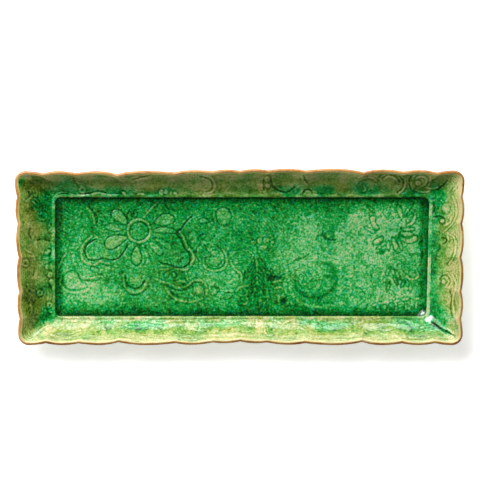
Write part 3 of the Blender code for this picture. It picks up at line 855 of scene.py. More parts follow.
def ring_faces(rings, around, closed=True):
    """Quads between successive rings of points; a closed loft also joins the last ring to the first."""
    first = np.arange(rings if closed else rings - 1)[:, None] * around
    place = np.arange(around)[None, :]
    ahead = (place + 1) % around
    above = (first + around) % (rings * around)
    quads = np.stack([first + place, first + ahead, above + ahead, above + place], axis=-1)
    return quads.reshape(-1, 4)


def surface_normals(rings):
    """Unit normals of a stack of rings: down where the rings run inwards, outwards where they fall."""
    around = np.roll(rings, -1, axis=1) - np.roll(rings, 1, axis=1)
    across = np.gradient(rings, axis=0)
    normals = np.cross(across, around)
    return normals / np.maximum(np.linalg.norm(normals, axis=2, keepdims=True), 1e-12)


# a blend of 1 is worth the wall's width in plan, so that rings along a section come out evenly spaced
SECTION_SCALE = (21.5, 1.0, 1.0)


def rings_at(stations, path):
    """A ring for each (blend, inset, height), inset and height in millimetres."""
    return np.stack([stations.ring(blend, inset * MM, height * MM) for blend, inset, height in path])


def section_rings(stations, section, spacing):
    """Rings along a smooth section, with the section's points and how far along it each one lies."""
    path = curve_through(section, spacing, scale=SECTION_SCALE)
    steps = np.linalg.norm(np.diff(path * np.array(SECTION_SCALE), axis=0), axis=1)
    return rings_at(stations, path), path, np.concatenate([[0.0], np.cumsum(steps)])


# sections of (blend from the rim to the well, inset, height), the last two in millimetres
WALL_SECTION = ((0.0, 2.6, 26.55), (0.0, 3.3, 26.1), (0.05, 3.2, 25.1), (0.20, 2.5, 22.5),
                (0.45, 1.6, 17.1), (0.72, 0.7, 12.8), (0.88, 0.0, 11.1), (0.96, -0.4, 10.75),
                (1.0, -0.1, 10.7), (1.0, 0.5, 10.35), (1.0, 0.85, 9.7), (1.0, 1.05, 8.9), (1.0, 1.3, 7.7))
WALL_UNDERSIDE = ((1.0, 0.7, 7.5), (1.0, -0.3, 9.9), (0.92, 0.3, 10.1), (0.72, 1.0, 11.7),
                  (0.45, 1.9, 16.0), (0.2, 2.7, 21.4), (0.0, 3.4, 25.3))

# how deep and how olive the glaze is on each wall (left, right, back, front), from the rim down to the step;
# partly painted shade and light: deeper on the left wall, turned from the lights, thinner on the right,
# turned to them
WALL_DEPTHS_AND_SHADE = ((0.40, 0.50, 0.54, 0.66), (0.14, 0.26, 0.46, 0.62),
               (0.26, 0.34, 0.40, 0.40), (0.34, 0.38, 0.38, 0.28))
WALL_OLIVES_AND_SHADE = ((0.95, 0.95, 0.50, 0.45), (0.95, 0.90, 0.45, -0.4),
               (0.95, 0.95, 0.90, 0.50), (0.95, 0.90, 0.80, 0.75))
# one value for each wall: how worn and pale the step's crest is, paler on the right and front as painted
# light where those crests face the lights, and how strong the flutes and the motifs are
CREST_WEAR_AND_LIGHT = (0.5, 0.95, 0.45, 0.75)
FLUTE_STRENGTH = (0.4, 0.9, 1.0, 1.2)
MOTIF_STRENGTH = (0.8, 1.2, 1.2, 0.5)
WALL_PATCHES = (
    # middle, radii, how much deeper and how much less olive the glaze is
    ((-154, 40), (8, 16), 0.14, 0.6), ((-152, 3), (8, 10), 0.02, 0.6), ((-153, -46), (9, 8), 0.04, 0.6),
    ((-162, 57), (12, 6), 0.14, -0.2), ((-165, -34), (7, 12), 0.12, -0.3),
    ((-166, 26), (6, 12), 0.08, -0.3), ((-136, 53), (16, 4.5), 0.08, 0.8),
    ((-100, 52), (18, 4), 0.05, 0.8), ((-62, 52), (12, 3.5), 0.04, 0.7), ((40, 53), (10, 4), 0.05, 0.8),
    ((66, 54.5), (8, 4), 0.16, 1.0), ((101, 53.5), (13, 4.5), 0.08, 0.9),
    ((133, 53), (10, 4.5), 0.10, 0.9), ((154, 49), (8, 9), 0.10, 0.9), ((-76, -53), (20, 4), 0.05, 0.6),
    ((-10, -52), (14, 3), 0.04, 0.5), ((70, -53), (15, 4), 0.08, 0.6), ((136, -55), (14, 6), 0.10, 0.5),
    ((156, -50), (9, 9), 0.12, 0.8), ((-166, 63.5), (5, 3), -0.40, 0.0),
    # the paler streak at the back right corner is a painted highlight
    ((-171, 59), (2.5, 4), 0.10, 1.0), ((173, 59), (4, 9), -0.14, -0.1),
    ((-163, -61), (9, 5), -0.16, 0.1), ((-20, 60), (30, 7), -0.06, 0.1),
    ((104, -60), (12, 5), 0.08, 0.2), ((0, -56), (26, 8), -0.07, -0.1),
    ((-108, -55), (26, 7), 0.06, 0.1),
)
# the well's left, right, back and front edges as the camera sees them, and the walls' widths there
SEEN_EDGES = (-149.0, 150.5, 49.0, -49.0)
SEEN_WIDTHS = (27.0, 25.0, 18.0, 18.0)
# where the glaze is heaped: the well's front right corner, the way from it to the rim's corner, and the
# slope along x and y that sends the window's light to the camera
FILLED_CORNER = (147.0, -47.0)
MITRE_WAY = (0.83, -0.557)
GLINT_SLOPE = (0.20, -0.27)


def past_edges(x, y):
    """How far out on the left, right, back and front wall a place lies, 0 at the well and 1 at the rim."""
    left, right, back, front = SEEN_EDGES
    widths = SEEN_WIDTHS
    return ((left - x) / widths[0], (x - right) / widths[1], (y - back) / widths[2], (front - y) / widths[3])


def wall_sides(x, y):
    """How much each place belongs to the left, right, back and front wall; the shares meet at the corners."""
    out = np.stack(past_edges(x, y))
    shares = np.exp(14.0 * (out - out.max(axis=0)))
    return shares / shares.sum(axis=0)


def blend_sides(sides, values):
    """The four walls' own values, mixed by the shares of the sides."""
    return sum(share * value for share, value in zip(sides, values))


def blend_down(sides, down, rows):
    """The same for values that change from the rim to the step, with a row of them for each wall."""
    places = np.linspace(0.0, 0.9, len(rows[0]))
    return blend_sides(sides, [np.interp(down, places, row) for row in rows])


def corner_folds(x, y):
    """1 along the line where two walls meet at a corner, falling off to both sides."""
    left, right, back, front = past_edges(x, y)
    side_x, side_y = np.where(x > 0, right, left), np.where(y > 0, back, front)
    return np.exp(-((side_x - side_y) / 0.17) ** 2) * smoothstep(0.02, 0.12, np.minimum(side_x, side_y))


def mitre_place(x, y):
    """How far a place lies along the front right corner's mitre from the well's corner, and across it."""
    dx, dy = x - FILLED_CORNER[0], y - FILLED_CORNER[1]
    return MITRE_WAY[0] * dx + MITRE_WAY[1] * dy, MITRE_WAY[0] * dy - MITRE_WAY[1] * dx


def corner_fill(x, y):
    """Height of the thick glaze in the front right corner, whose slope catches the window's light."""
    along, across = mitre_place(x, y)
    beside = np.maximum(np.abs(across) - 2.6, 0.0) + np.maximum(np.abs(along) - 5.5, 0.0)
    dx, dy = x - FILLED_CORNER[0], y - FILLED_CORNER[1]
    return FLOOR + (2.45 + GLINT_SLOPE[0] * dx + GLINT_SLOPE[1] * dy - 0.9 * beside) * MM


def soft_lift(height, over, roundness):
    """How much a surface must rise to lie over another one, with a rounded edge where they meet."""
    gap = over - height
    return 0.5 * (gap + np.sqrt(gap ** 2 + roundness ** 2))


def make_wall_glaze(pattern, surface, material):
    """The glaze on the flared walls, the ledge and the step down into the well."""
    stations = Stations(0.00064)
    rings, path, run = section_rings(stations, WALL_SECTION, 0.56)
    blend, level, run = path[:, 0:1], path[:, 2:3], run[:, None]
    x, y = seen_place(rings[:, :, 0], rings[:, :, 1], rings[:, :, 2])
    down = run / run[-1]
    sides = wall_sides(x, y)
    # the strips of the surface that differ: the flat of the wall, the step's worn crest, and its foot
    edge = (1.0 - smoothstep(0.90, 0.94, down)) * smoothstep(0.0, 0.04, down)
    crest = np.exp(-((level - 10.62) / 0.28) ** 2) * (blend > 0.93)
    foot = smoothstep(9.9, 9.0, level) * (blend > 0.98)

    # the shape: the motifs, the lace, the flutes below the rim, and the dark seam along the filled mitre
    rim_run = run + 0.9 * layered_noise(x, y, 26.0, 73, 2)
    flutes = np.sin(2 * np.pi * rim_run / 1.7) * smoothstep(0.8, 2.0, run)
    flutes *= 1.0 - smoothstep(5.5, 11.0, run + 3.0 * layered_noise(x, y, 20.0, 71, 2))
    flutes *= blend_sides(sides, FLUTE_STRENGTH)
    below_lip = smoothstep(1.2, 3.4, run)
    motifs = relief.sample(surface, x, y) * below_lip
    grain = lace(x, y) * smoothstep(0.08, 0.3, down)
    along, across = mitre_place(x, y)
    across = across + 0.7 * value_noise(x, y, 5.0, 74)
    at_mitre = smoothstep(4.5, 7.0, along) * smoothstep(28.0, 20.0, along)
    seam_ridge = np.exp(-(across / 1.2) ** 2) * at_mitre
    height = (0.8 * np.tanh(1.2 * motifs) + 0.09 * grain + 0.34 * flutes + 2.2 * seam_ridge) * edge
    rings = rings - surface_normals(rings) * (height * 0.5 * MM)[:, :, None]
    rings[:, :, 2] += soft_lift(rings[:, :, 2], corner_fill(x, y), 0.15 * MM)

    # the colour: broad and small blotches, patches, the same relief, and the corners
    broad = layered_noise(x, y, 17.0, 61, 3)
    blotch = layered_noise(x, y, 8.0, 65, 3)
    # the walls' own depths and olives carry painted shade and light too: deeper glaze on the left wall,
    # thinner on the right
    depth = blend_down(sides, down, WALL_DEPTHS_AND_SHADE) + 0.12 * broad + 0.22 * blotch
    olive = blend_down(sides, down, WALL_OLIVES_AND_SHADE) + 0.16 * broad - 0.40 * blotch
    for middle, radii, deeper, greener in WALL_PATCHES:
        share = spot(x + 9.0 * blotch, y + 5.0 * broad, middle, radii)
        depth, olive = depth + deeper * share, olive - greener * share
    lined = relief.sample(pattern, x, y) * below_lip
    lined = lined * blend_sides(sides, MOTIF_STRENGTH)
    depth -= (0.42 * lined * np.where(lined > 0, 0.8, 1.2) + 0.13 * grain + 0.20 * flutes) * edge
    # the walls' meeting lines are darker, but for the front left one, where the glaze is thin
    front_left = smoothstep(5, -5, x) * smoothstep(5, -5, y)
    depth += (0.12 - 0.25 * front_left) * corner_folds(x, y) * edge
    seam = np.exp(-((across + 1.3) / 1.5) ** 2) * at_mitre * edge
    depth, olive = depth + 0.30 * seam, olive - 0.9 * seam
    # the crest is paler where its glaze is worn thin, and paler still on the right and front walls as painted
    # light where their crests face the lights
    wear_and_shading = np.clip(blend_sides(sides, CREST_WEAR_AND_LIGHT) + 0.8 * layered_noise(x, y, 5.0, 81, 2), 0, 1.2)
    depth = np.clip(depth, 0.06, 0.88) * (1.0 - crest) + crest * (0.62 - 0.50 * wear_and_shading)
    depth = np.clip(depth + 0.35 * foot, 0.0, 1.0)
    olive = np.clip(olive, 0.0, 1.0)

    under, _, _ = section_rings(stations, WALL_UNDERSIDE, 8.0)
    faces = ring_faces(len(rings) + len(under), stations.count)[:, ::-1].tolist()
    return glazed_object("wall_glaze_surface", rings, under, faces, material, depth, olive, (0.5, 0.5))


def make_well_glaze(pattern, surface, material):
    """The glaze on the well's floor, with the relief under it and a pooled edge."""
    spacing, gap, corner, underside = 0.00056, 0.0009, 0.004, 0.0074
    half_length, half_width = WELL_HALF_LENGTH - gap, WELL_HALF_WIDTH - gap
    columns, rows = round(2 * half_length / spacing), round(2 * half_width / spacing)
    u, v = np.meshgrid(np.linspace(-1.0, 1.0, columns), np.linspace(-1.0, 1.0, rows))
    y = v * half_width
    into_corner = np.clip(np.abs(y) - (half_width - corner), 0.0, corner)
    reach = half_length - corner + np.sqrt(np.maximum(corner ** 2 - into_corner ** 2, 0.0))
    x = u * reach
    lean = np.where(x > 0.0, WELL_LEAN_RIGHT, 0.0) * np.abs(x) / half_length * y / half_width
    edge = np.minimum(reach - np.abs(x), half_width - np.abs(y)) / MM
    x = x + lean + WELL_CENTRE[0] - BOX_MIDDLE[0]
    y = y + WELL_CENTRE[1] - BOX_MIDDLE[1]
    px, py = seen_place(x, y, FLOOR)
    motifs = relief.sample(pattern, px, py)
    grain = lace(px, py) * (1.0 - 0.45 * np.clip(np.abs(motifs), 0, 1))
    height = 0.34 * np.tanh(1.6 * relief.sample(surface, px, py)) + 0.08 * grain
    inner = smoothstep(0.6, 3.4, edge)
    meniscus = 0.22 * np.exp(-edge / 0.8)
    slope = soft_lift(FLOOR, corner_fill(px, py), 0.15 * MM)
    z = FLOOR + slope + (0.50 * height * inner * smoothstep(1.0, 0.0, slope / MM) + meniscus) * MM
    # the glaze evens out what lies under it, so its depth shows more of the relief than its surface does
    relief_under = np.where(motifs > 0.0, 0.6, 1.0) * motifs + 0.45 * grain + 0.22 * hatching(px, py)
    depth = floor_depth(px, py, relief_under * inner)
    olive = 0.04 + 0.16 * layered_noise(px, py, 30.0, 91, 2) + 0.5 * smoothstep(0.25, 0.8, motifs)
    top = np.stack([x, y, z], axis=-1).reshape(-1, 3)
    index = np.arange(rows * columns).reshape(rows, columns)
    quads = np.stack([index[:-1, :-1], index[:-1, 1:], index[1:, 1:], index[1:, :-1]], axis=-1)
    # the sides go down from the border to a flat underside
    border = np.concatenate([index[0, :-1], index[:-1, -1], index[-1, :0:-1], index[:0:-1, 0]])
    under = top[border].copy()
    under[:, 2] = underside
    place = np.arange(len(border))
    ahead = (place + 1) % len(border)
    low = place + rows * columns
    sides = np.stack([border[ahead], border, low, low[ahead]], axis=-1)
    faces = quads.reshape(-1, 4).tolist() + sides.tolist() + [low[::-1].tolist()]
    olive = np.clip(olive, 0, 1)
    return glazed_object("well_glaze_surface", top, under, faces, material, depth, olive, (0.8, 0.0))


RIM_SECTION = ((0.0, 1.0, 25.0), (0.0, 0.35, 24.9), (0.0, 0.0, 25.6), (0.0, 0.35, 26.4), (0.0, 1.1, 26.95),
               (0.0, 1.9, 27.0), (0.0, 2.7, 26.6), (0.0, 3.35, 25.95), (0.0, 3.3, 25.3), (0.0, 2.2, 25.2))


def make_rim_band(material):
    """The iron-brown edge on the lip: amber outside, thin cream glaze where it rolls over inside."""
    stations = Stations(0.0011)
    rings, path, _ = section_rings(stations, RIM_SECTION, 0.28)
    x, y = seen_place(rings[:, :, 0], rings[:, :, 1], rings[:, :, 2])
    wear_and_shading = layered_noise(x, y, 9.0, 101, 3)
    inward = path[:, 1:2] + 0 * x
    lump = 0.12 * layered_noise(x, y, 6.0, 111, 2) + 0.04 * layered_noise(x, y, 1.6, 121, 2)
    rings = rings - surface_normals(rings) * (lump * MM)[:, :, None] * (path[:, 2:3, None] > 25.5)
    # at the front and the right the cream line is wider and the brown darker, painted light and shade for the
    # lip on the sides away from the lights, and at the back the cream line is narrower and the brown outside
    # it darkest, painted shade against the back panel's strong light there
    sides = wall_sides(x, y)
    painted_shade = sides[1] + sides[3]
    cream = smoothstep(1.75, 2.4, inward + 0.5 * wear_and_shading + 0.45 * painted_shade - 0.35 * sides[2])
    wear_and_shading = wear_and_shading - 0.35 * painted_shade - 0.9 * sides[2] * smoothstep(1.6, 0.3, inward)
    green = smoothstep(2.7, 3.4, inward + 0.5 * layered_noise(x, y, 12.0, 131, 2))
    faces = ring_faces(len(rings), stations.count).tolist()
    values = {"cream": cream.ravel(), "green": green.ravel(), "wear_and_shading": 0.5 + 0.5 * wear_and_shading.ravel()}
    return make_object("rim_edge_band", rings.reshape(-1, 3), faces, material, values)


OUTER_SECTION = ((0.0, 0.9, 25.1), (0.0, 0.1, 24.9), (0.0, -0.1, 24.4), (0.03, 0.15, 22.8), (0.2, 0.0, 19.6),
                 (0.45, -0.15, 13.6), (0.7, -0.5, 8.7), (0.87, -1.6, 6.6))


def make_outer_glaze(material):
    """The glaze outside the walls, which runs down and stops in a rolled, uneven edge above the foot."""
    stations = Stations(0.00105)
    spacing, thickness = 0.62, 0.95
    path = curve_through(OUTER_SECTION, spacing, scale=SECTION_SCALE)
    count = len(path)
    place = np.arange(count, dtype=float)[:, None]
    plan_x, plan_y = stations.plan(0.5, 0.0)
    drips = layered_noise(plan_x / MM, plan_y / MM, 13.0, 141, 3)
    # each station takes its own share of the section, so that the lower edge rises and falls
    reach = (count - 1) * (0.93 + 0.07 * np.clip(drips * 1.8, -1.0, 1.0))
    along = place / (count - 1) * reach[None, :]
    blend, inset, height = [np.interp(along, np.arange(count), path[:, k]) for k in range(3)]
    rings = rings_at(stations, zip(blend, inset, height))
    x, y = rings[:, :, 0] / MM, rings[:, :, 1] / MM
    left = (count - 1 - place) * spacing
    roll = 0.45 * np.exp(-((left - 1.2) / 1.1) ** 2) - 0.65 * np.exp(-(left / 0.55) ** 2)
    flutes = 0.16 * np.sin(2 * np.pi * place * spacing / 3.1) * smoothstep(1.0, 3.0, place * spacing)
    flutes = flutes * (1.0 - smoothstep(9.0, 15.0, place * spacing))
    lumps = 0.25 * layered_noise(x, y + 2.1 * height, 8.0, 151, 3)
    fade = smoothstep(0.0, 2.0, place)
    rings = rings + surface_normals(rings) * ((roll + flutes + lumps) * fade * MM)[:, :, None]
    depth = np.clip(0.34 + 0.012 * (25.0 - height) + 0.9 * roll - 0.6 * flutes - 0.25 * lumps
                    + 0.14 * layered_noise(x, y, 20.0, 161, 3), 0.0, 1.0)
    olive = np.clip(0.95 - 0.5 * smoothstep(16.0, 8.0, height), 0.0, 1.0)
    # the hidden side that lies on the clay, from the lower edge back up to the lip
    back = range(count - 1, -1, -6)
    inner = rings_at(stations, [(blend[k], inset[k] + thickness, height[k] + 0.25) for k in back])
    inner[:, :, 2] = np.minimum(inner[:, :, 2], 0.0249)
    faces = ring_faces(len(rings) + len(inner), stations.count).tolist()
    return glazed_object("outer_glaze_surface", rings, inner, faces, material, depth, olive, (0.4, 0.4))


CLAY_SECTION = ((0.0, 3.2, 25.2), (0.0, 1.3, 25.2), (0.06, 1.4, 22.4), (0.2, 1.2, 19.4), (0.45, 0.9, 13.4),
                (0.62, 0.6, 9.8), (0.86, -1.4, 6.0), (1.0, -3.1, 4.3), (1.0, -2.6, 3.3), (1.0, -1.5, 2.85),
                (1.0, 0.0, 2.8))


def make_clay_body(material):
    """The pressed clay under the glazes: its outside, its whole underside, and a plain inner side."""
    stations = Stations(0.0013)
    outside, _, _ = section_rings(stations, CLAY_SECTION, 0.9)
    insets = np.concatenate([np.arange(1.0, 12.0, 1.0), np.arange(12.5, 46.5, 2.4)])
    bottom = np.stack([stations.ring(1.0, inset * MM, UNDERSIDE) for inset in insets])
    rings = np.concatenate([outside, bottom])
    x, y = rings[:, :, 0] / MM, rings[:, :, 1] / MM
    lumps = 0.10 * layered_noise(x, y, 7.0, 171, 3)
    lumps[:3] = 0.0  # the lip lies close under the rim band
    rings = rings - surface_normals(rings) * (lumps * MM)[:, :, None]
    inside = rings_at(stations, ((1.0, 46.0, 7.1), (1.0, 1.2, 7.1), (1.0, -0.2, 9.7), (0.72, 1.0, 11.6),
                                 (0.45, 1.9, 15.9), (0.2, 2.8, 21.2)))
    # the flat floor is closed by two caps, so the loft runs from the bottom's middle round to the top's
    order = np.concatenate([rings[::-1], inside[::-1]])
    faces = ring_faces(len(order), stations.count, closed=False)[:, ::-1].tolist()
    last = (len(order) - 1) * stations.count
    faces.append(list(range(stations.count))[::-1])
    faces.append([last + place for place in range(stations.count)])
    return make_object("stoneware_clay_body", order.reshape(-1, 3), faces, material)


FOOT_SECTION = ((1.0, 3.0, 2.5), (1.0, 3.0, 0.8), (1.0, 3.25, 0.25), (1.0, 3.9, 0.02), (1.0, 6.4, 0.0),
                (1.0, 9.1, 0.02), (1.0, 9.75, 0.25), (1.0, 10.0, 0.8), (1.0, 10.0, 2.5), (1.0, 6.5, 2.5))


def make_foot(material):
    """The bare clay ring under the tray, with rounded edges that are a little chipped."""
    stations = Stations(0.0012)
    rings, path, _ = section_rings(stations, FOOT_SECTION, 0.55)
    x, y = rings[:, :, 0] / MM, rings[:, :, 1] / MM
    chips = 0.10 * layered_noise(x, y, 3.0, 181, 3) + 0.25 * np.clip(value_noise(x, y, 5.0, 191) - 0.75, 0, 1)
    chips = np.where(path[:, 2:3] > 2.2, 0.0, chips)
    rings = rings - surface_normals(rings) * (chips * MM)[:, :, None]
    rings[:, :, 2] = np.clip(rings[:, :, 2], 0.0, 0.0026)  # from the table up to just under the clay
    faces = ring_faces(len(rings), stations.count).tolist()
    return make_object("foot_ring_clay", rings.reshape(-1, 3), faces, material)


# --- materials ------------------------------------------------------------------------------------

def linear(code):
    """A scene colour from a web colour."""
    parts = [int(code[k:k + 2], 16) / 255 for k in (0, 2, 4)]
    return [p / 12.92 if p <= 0.04045 else ((p + 0.055) / 1.055) ** 2.4 for p in parts] + [1.0]


class Nodes:
    """Short ways to add and join a material's nodes."""

    def __init__(self, name):
        self.material = bpy.data.materials.new(name)
        self.material.use_nodes = True
        self.tree = self.material.node_tree
        self.shader = self.tree.nodes["Principled BSDF"]
        self.place = self.add("ShaderNodeTexCoord").outputs["Object"]

    def add(self, kind, **settings):
        node = self.tree.nodes.new(kind)
        for key, value in settings.items():
            setattr(node, key, value)
        return node

    def join(self, source, target):
        self.tree.links.new(source, target)

    def put(self, target, value):
        """Joins an output to a socket, or sets the socket to a value."""
        if hasattr(value, "is_output"):
            self.join(value, target)
        else:
            target.default_value = value

    def attribute(self, name):
        return self.add("ShaderNodeAttribute", attribute_name=name).outputs["Fac"]

    def noise(self, scale, detail=3.0, rough=0.55):
        node = self.add("ShaderNodeTexNoise")
        for socket, number in (("Scale", scale), ("Detail", detail), ("Roughness", rough)):
            node.inputs[socket].default_value = number
        self.join(self.place, node.inputs["Vector"])
        return node.outputs["Fac"]

    def cells(self, scale, feature='F1'):
        node = self.add("ShaderNodeTexVoronoi", feature=feature)
        node.inputs["Scale"].default_value = scale
        self.join(self.place, node.inputs["Vector"])
        return node.outputs["Distance"]

    def math(self, operation, first, second=0.0, third=None, clamp=False):
        node = self.add("ShaderNodeMath", operation=operation, use_clamp=clamp)
        self.put(node.inputs[0], first)
        self.put(node.inputs[1], second)
        if third is not None:
            self.put(node.inputs[2], third)
        return node.outputs[0]

    def remap(self, value, low, high, to_low=0.0, to_high=1.0):
        node = self.add("ShaderNodeMapRange")
        for socket, number in zip(node.inputs[:5], (value, low, high, to_low, to_high)):
            self.put(socket, number)
        return node.outputs[0]

    def ramp(self, value, stops):
        node = self.add("ShaderNodeValToRGB")
        ramp = node.color_ramp
        while len(ramp.elements) < len(stops):
            ramp.elements.new(0.5)
        for element, (place, code) in zip(ramp.elements, stops):
            element.position = place
            element.color = linear(code)
        self.join(value, node.inputs["Fac"])
        return node.outputs["Color"]

    def blend(self, share, first, second):
        node = self.add("ShaderNodeMix", data_type='RGBA')
        self.put(node.inputs[0], share)
        for socket, colour in ((node.inputs[6], first), (node.inputs[7], second)):
            self.put(socket, linear(colour) if isinstance(colour, str) else colour)
        return node.outputs[2]

    def finish(self, colour, roughness, height, strength, distance):
        """Joins the colour, the roughness and a bump to the shader."""
        node = self.add("ShaderNodeBump")
        for socket, value in (("Strength", strength), ("Distance", distance), ("Height", height)):
            self.put(node.inputs[socket], value)
        for socket, output in (("Normal", node.outputs["Normal"]), ("Base Color", colour),
                               ("Roughness", roughness)):
            self.join(output, self.shader.inputs[socket])
        return self.material


# the glaze's colours by its depth: on the floor, in bluish flecks there, and on the walls
EMERALD = ((0.0, "c4c394"), (0.10, "9cc485"), (0.24, "62ba6e"), (0.38, "1aa146"), (0.52, "008b30"),
           (0.66, "00681c"), (0.82, "004010"), (1.0, "002809"))
TEAL = ((0.0, "9fcbb0"), (0.3, "3fb98a"), (0.5, "009c62"), (0.7, "006a46"), (1.0, "003022"))
OLIVE = ((0.0, "cdbb8c"), (0.14, "b0ae6e"), (0.30, "909f46"), (0.48, "6e842c"), (0.66, "4c6416"),
         (0.84, "243f0a"), (1.0, "0c2006"))


def glaze_material(name, gloss=0.13):
    """Glossy copper glaze: deep where it pools, thin and tan on the ridges, with crackle and iron specks."""
    nodes = Nodes(name)
    mottle = nodes.noise(620.0, 3.0, 0.62)
    cloud = nodes.noise(90.0, 3.0, 0.5)
    # the depth value from the mesh also carries painted shade and light on the walls
    depth = nodes.math('MULTIPLY_ADD', mottle, 1.15, nodes.attribute("glaze_depth_and_shading"))
    depth = nodes.math('MULTIPLY_ADD', cloud, 0.30, depth)
    depth = nodes.math('SUBTRACT', depth, 0.735)
    hue = nodes.math('MULTIPLY_ADD', nodes.noise(150.0, 2.0), 0.5, nodes.attribute("olive"))
    hue = nodes.math('SUBTRACT', hue, 0.32, clamp=True)
    colour = nodes.blend(hue, nodes.ramp(depth, EMERALD), nodes.ramp(depth, OLIVE))
    tan = nodes.remap(nodes.noise(450.0, 2.0, 0.5), 0.54, 0.70, 0.0, 0.35)
    colour = nodes.blend(tan, colour, nodes.ramp(depth, OLIVE))
    teal = nodes.remap(nodes.noise(330.0, 2.0, 0.5), 0.54, 0.68, 0.0, 0.60)
    teal = nodes.math('MULTIPLY', teal, nodes.remap(hue, 0.1, 0.7, 1.0, 0.0))
    colour = nodes.blend(teal, colour, nodes.ramp(depth, TEAL))
    iron = nodes.remap(nodes.noise(540.0, 2.0, 0.5), 0.66, 0.76, 0.0, 0.2)
    colour = nodes.blend(iron, colour, "8f7433")
    crackle = nodes.remap(nodes.cells(900.0, 'DISTANCE_TO_EDGE'), 0.0, 0.09, 0.30, 0.0)
    colour = nodes.blend(crackle, colour, "06360f")
    nodes.shader.inputs["IOR"].default_value = 1.5
    ripples = nodes.math('ADD', mottle, nodes.math('MULTIPLY', cloud, 2.0))
    roughness = nodes.remap(mottle, 0.3, 0.7, gloss - 0.03, gloss + 0.05)
    return nodes.finish(colour, roughness, ripples, 0.25, 0.0002)


def rim_material():
    """Iron-brown edge, thin enough inside to show cream clay."""
    nodes = Nodes("iron_brown_edge")
    grain = nodes.noise(260.0, 3.0)
    # the amber darkens with the mesh's wear and its painted shade: darker brown at the front, the right and
    # outside at the back
    thinness_and_shading = nodes.math('ADD', nodes.math('MULTIPLY', nodes.attribute("wear_and_shading"), 0.6),
                      nodes.math('MULTIPLY', grain, 0.5))
    amber = nodes.ramp(thinness_and_shading, ((0.15, "7f4a13"), (0.5, "a8752f"), (0.8, "bc8f4e")))
    colour = nodes.blend(nodes.attribute("cream"), amber, "b9b27a")
    colour = nodes.blend(nodes.attribute("green"), colour, "97984f")
    specks = nodes.remap(nodes.noise(700.0, 2.0), 0.62, 0.74, 0.0, 0.5)
    colour = nodes.blend(specks, colour, "7c4a17")
    return nodes.finish(colour, nodes.remap(grain, 0.3, 0.7, 0.22, 0.34), grain, 0.3, 0.0002)


def clay_material(name, light, dark):
    """Matt fired clay with grit."""
    nodes = Nodes(name)
    grain = nodes.noise(700.0, 4.0, 0.6)
    cloud = nodes.noise(45.0, 3.0)
    both = nodes.math('MULTIPLY_ADD', grain, 0.6, nodes.math('MULTIPLY', cloud, 0.4))
    colour = nodes.ramp(both, ((0.25, dark), (0.7, light)))
    grit = nodes.remap(nodes.cells(420.0), 0.0, 0.16, 0.65, 0.0)
    colour = nodes.blend(grit, colour, "6b4a2c")
    return nodes.finish(colour, nodes.remap(grain, 0.3, 0.7, 0.72, 0.9), grain, 0.5, 0.0003)


# --- studio ---------------------------------------------------------------------------------------

# name, place, size and power of the lights, which all aim at the tray's middle
SOFTBOXES = (
    ("key_softbox", (-0.55, 0.80, 1.25), (1.3, 1.1), 31.0),
    ("back_panel", (-0.2, 1.5, 0.30), (2.4, 0.6), 36.0),
    ("window_glint", (-0.60, 0.95, 1.70), (0.34, 0.34), 8.5),
)
FLOOR_REACH = 8.0
FLOOR_SINK = 0.0001  # keeps the floor from flickering against the foot
LENS, SENSOR_WIDTH = 400.0, 36.0
WHITE = (1.0, 1.0, 1.0, 1.0)
PAPER_LIGHT = (1.0, 0.975, 0.975, 1.0)
# the room is pale up to one height over the horizon and dark from the next, overhead, where the camera hangs
HORIZON_TOP, OVERHEAD = 0.06, 0.16
HORIZON_LIGHT, OVERHEAD_LIGHT = 0.85, 0.03


def add_softbox(name, place, size, power):
    light = bpy.data.lights.new(name, 'AREA')
    light.shape = 'RECTANGLE'
    light.size, light.size_y = size
    light.energy = power
    made = bpy.data.objects.new(name, light)
    made.location = place
    made.rotation_euler = (-Vector(place)).to_track_quat('-Z', 'Y').to_euler()
    made.visible_camera = False
    bpy.context.scene.collection.objects.link(made)


def make_floor():
    """A plain sheet of pale paper that lights itself a little, as an overexposed white ground does."""
    paper = Nodes("lit_paper")
    for socket, value in (("Base Color", (0.9, 0.9, 0.9, 1.0)), ("Roughness", 0.9),
                          ("Emission Color", PAPER_LIGHT), ("Emission Strength", 0.635)):
        paper.shader.inputs[socket].default_value = value
    mesh = bpy.data.meshes.new("studio_floor")
    corners = [(x * FLOOR_REACH, y * FLOOR_REACH, 0) for x, y in ((-1, -1), (1, -1), (1, 1), (-1, 1))]
    mesh.from_pydata(corners, [], [(0, 1, 2, 3)])
    mesh.materials.append(paper.material)
    floor = bpy.data.objects.new("studio_floor", mesh)
    floor.location.z = -FLOOR_SINK
    bpy.context.scene.collection.objects.link(floor)


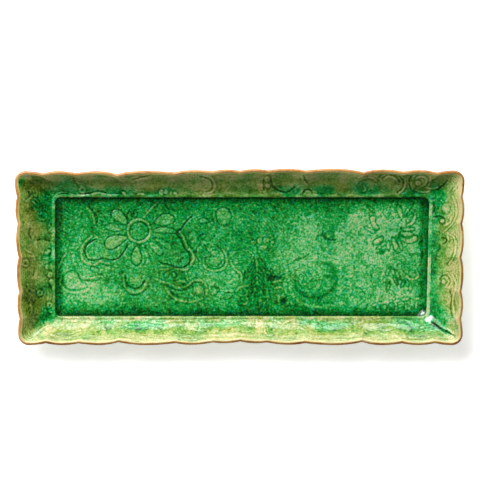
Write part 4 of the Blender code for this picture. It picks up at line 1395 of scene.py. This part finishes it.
def make_room():
    """The light that comes from all round, by its height over the horizon."""
    world = bpy.data.worlds.new("soft_surround")
    world.use_nodes = True
    tree = world.node_tree
    height = tree.nodes.new("ShaderNodeSeparateXYZ")
    tree.links.new(tree.nodes.new("ShaderNodeTexCoord").outputs["Generated"], height.inputs[0])
    room = tree.nodes.new("ShaderNodeMapRange")
    for socket, number in zip(room.inputs[1:5], (HORIZON_TOP, OVERHEAD, HORIZON_LIGHT, OVERHEAD_LIGHT)):
        socket.default_value = number
    tree.links.new(height.outputs["Z"], room.inputs["Value"])
    tree.links.new(room.outputs[0], tree.nodes["Background"].inputs["Strength"])
    tree.nodes["Background"].inputs["Color"].default_value = WHITE
    bpy.context.scene.world = world


def add_camera():
    """The photograph's camera, straight overhead with a long lens."""
    lens = bpy.data.cameras.new("overhead_camera")
    lens.lens = LENS
    lens.sensor_width = SENSOR_WIDTH
    lens.clip_end = 50.0
    camera = bpy.data.objects.new("overhead_camera", lens)
    camera.location = (CAMERA_PLACE[0] * MM, CAMERA_PLACE[1] * MM, RIM_TOP + CAMERA_HEIGHT)
    bpy.context.scene.collection.objects.link(camera)
    bpy.context.scene.camera = camera


# --- the whole model ------------------------------------------------------------------------------

surface = relief.soften(relief.height(), 0.5)
pattern = 1.2 * relief.soften(relief.height(), 0.3)
glaze = glaze_material("copper_green_glaze")
pieces = (
    (make_well_glaze(pattern, surface, glaze), "well_glaze", "emerald_glaze"),
    (make_wall_glaze(pattern, surface, glaze), "wall_glaze", "leaf_green_glaze"),
    (make_outer_glaze(glaze_material("outer_olive_glaze", 0.18)), "outer_glaze", "olive_glaze"),
    (make_rim_band(rim_material()), "rim_band", "iron_brown_band"),
    (make_clay_body(clay_material("fired_clay", "c9a57a", "a57b4e")), "stoneware_body", "fired_clay"),
    (make_foot(clay_material("bare_foot_clay", "d2b48a", "ab8558")), "foot_ring", "bare_foot_clay"),
)
for piece, node, finish in pieces:
    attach(piece, "root")
    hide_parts(node)
make_floor()
make_room()
for softbox in SOFTBOXES:
    add_softbox(*softbox)
bpy.context.scene.view_settings.view_transform = 'Standard'
add_camera()
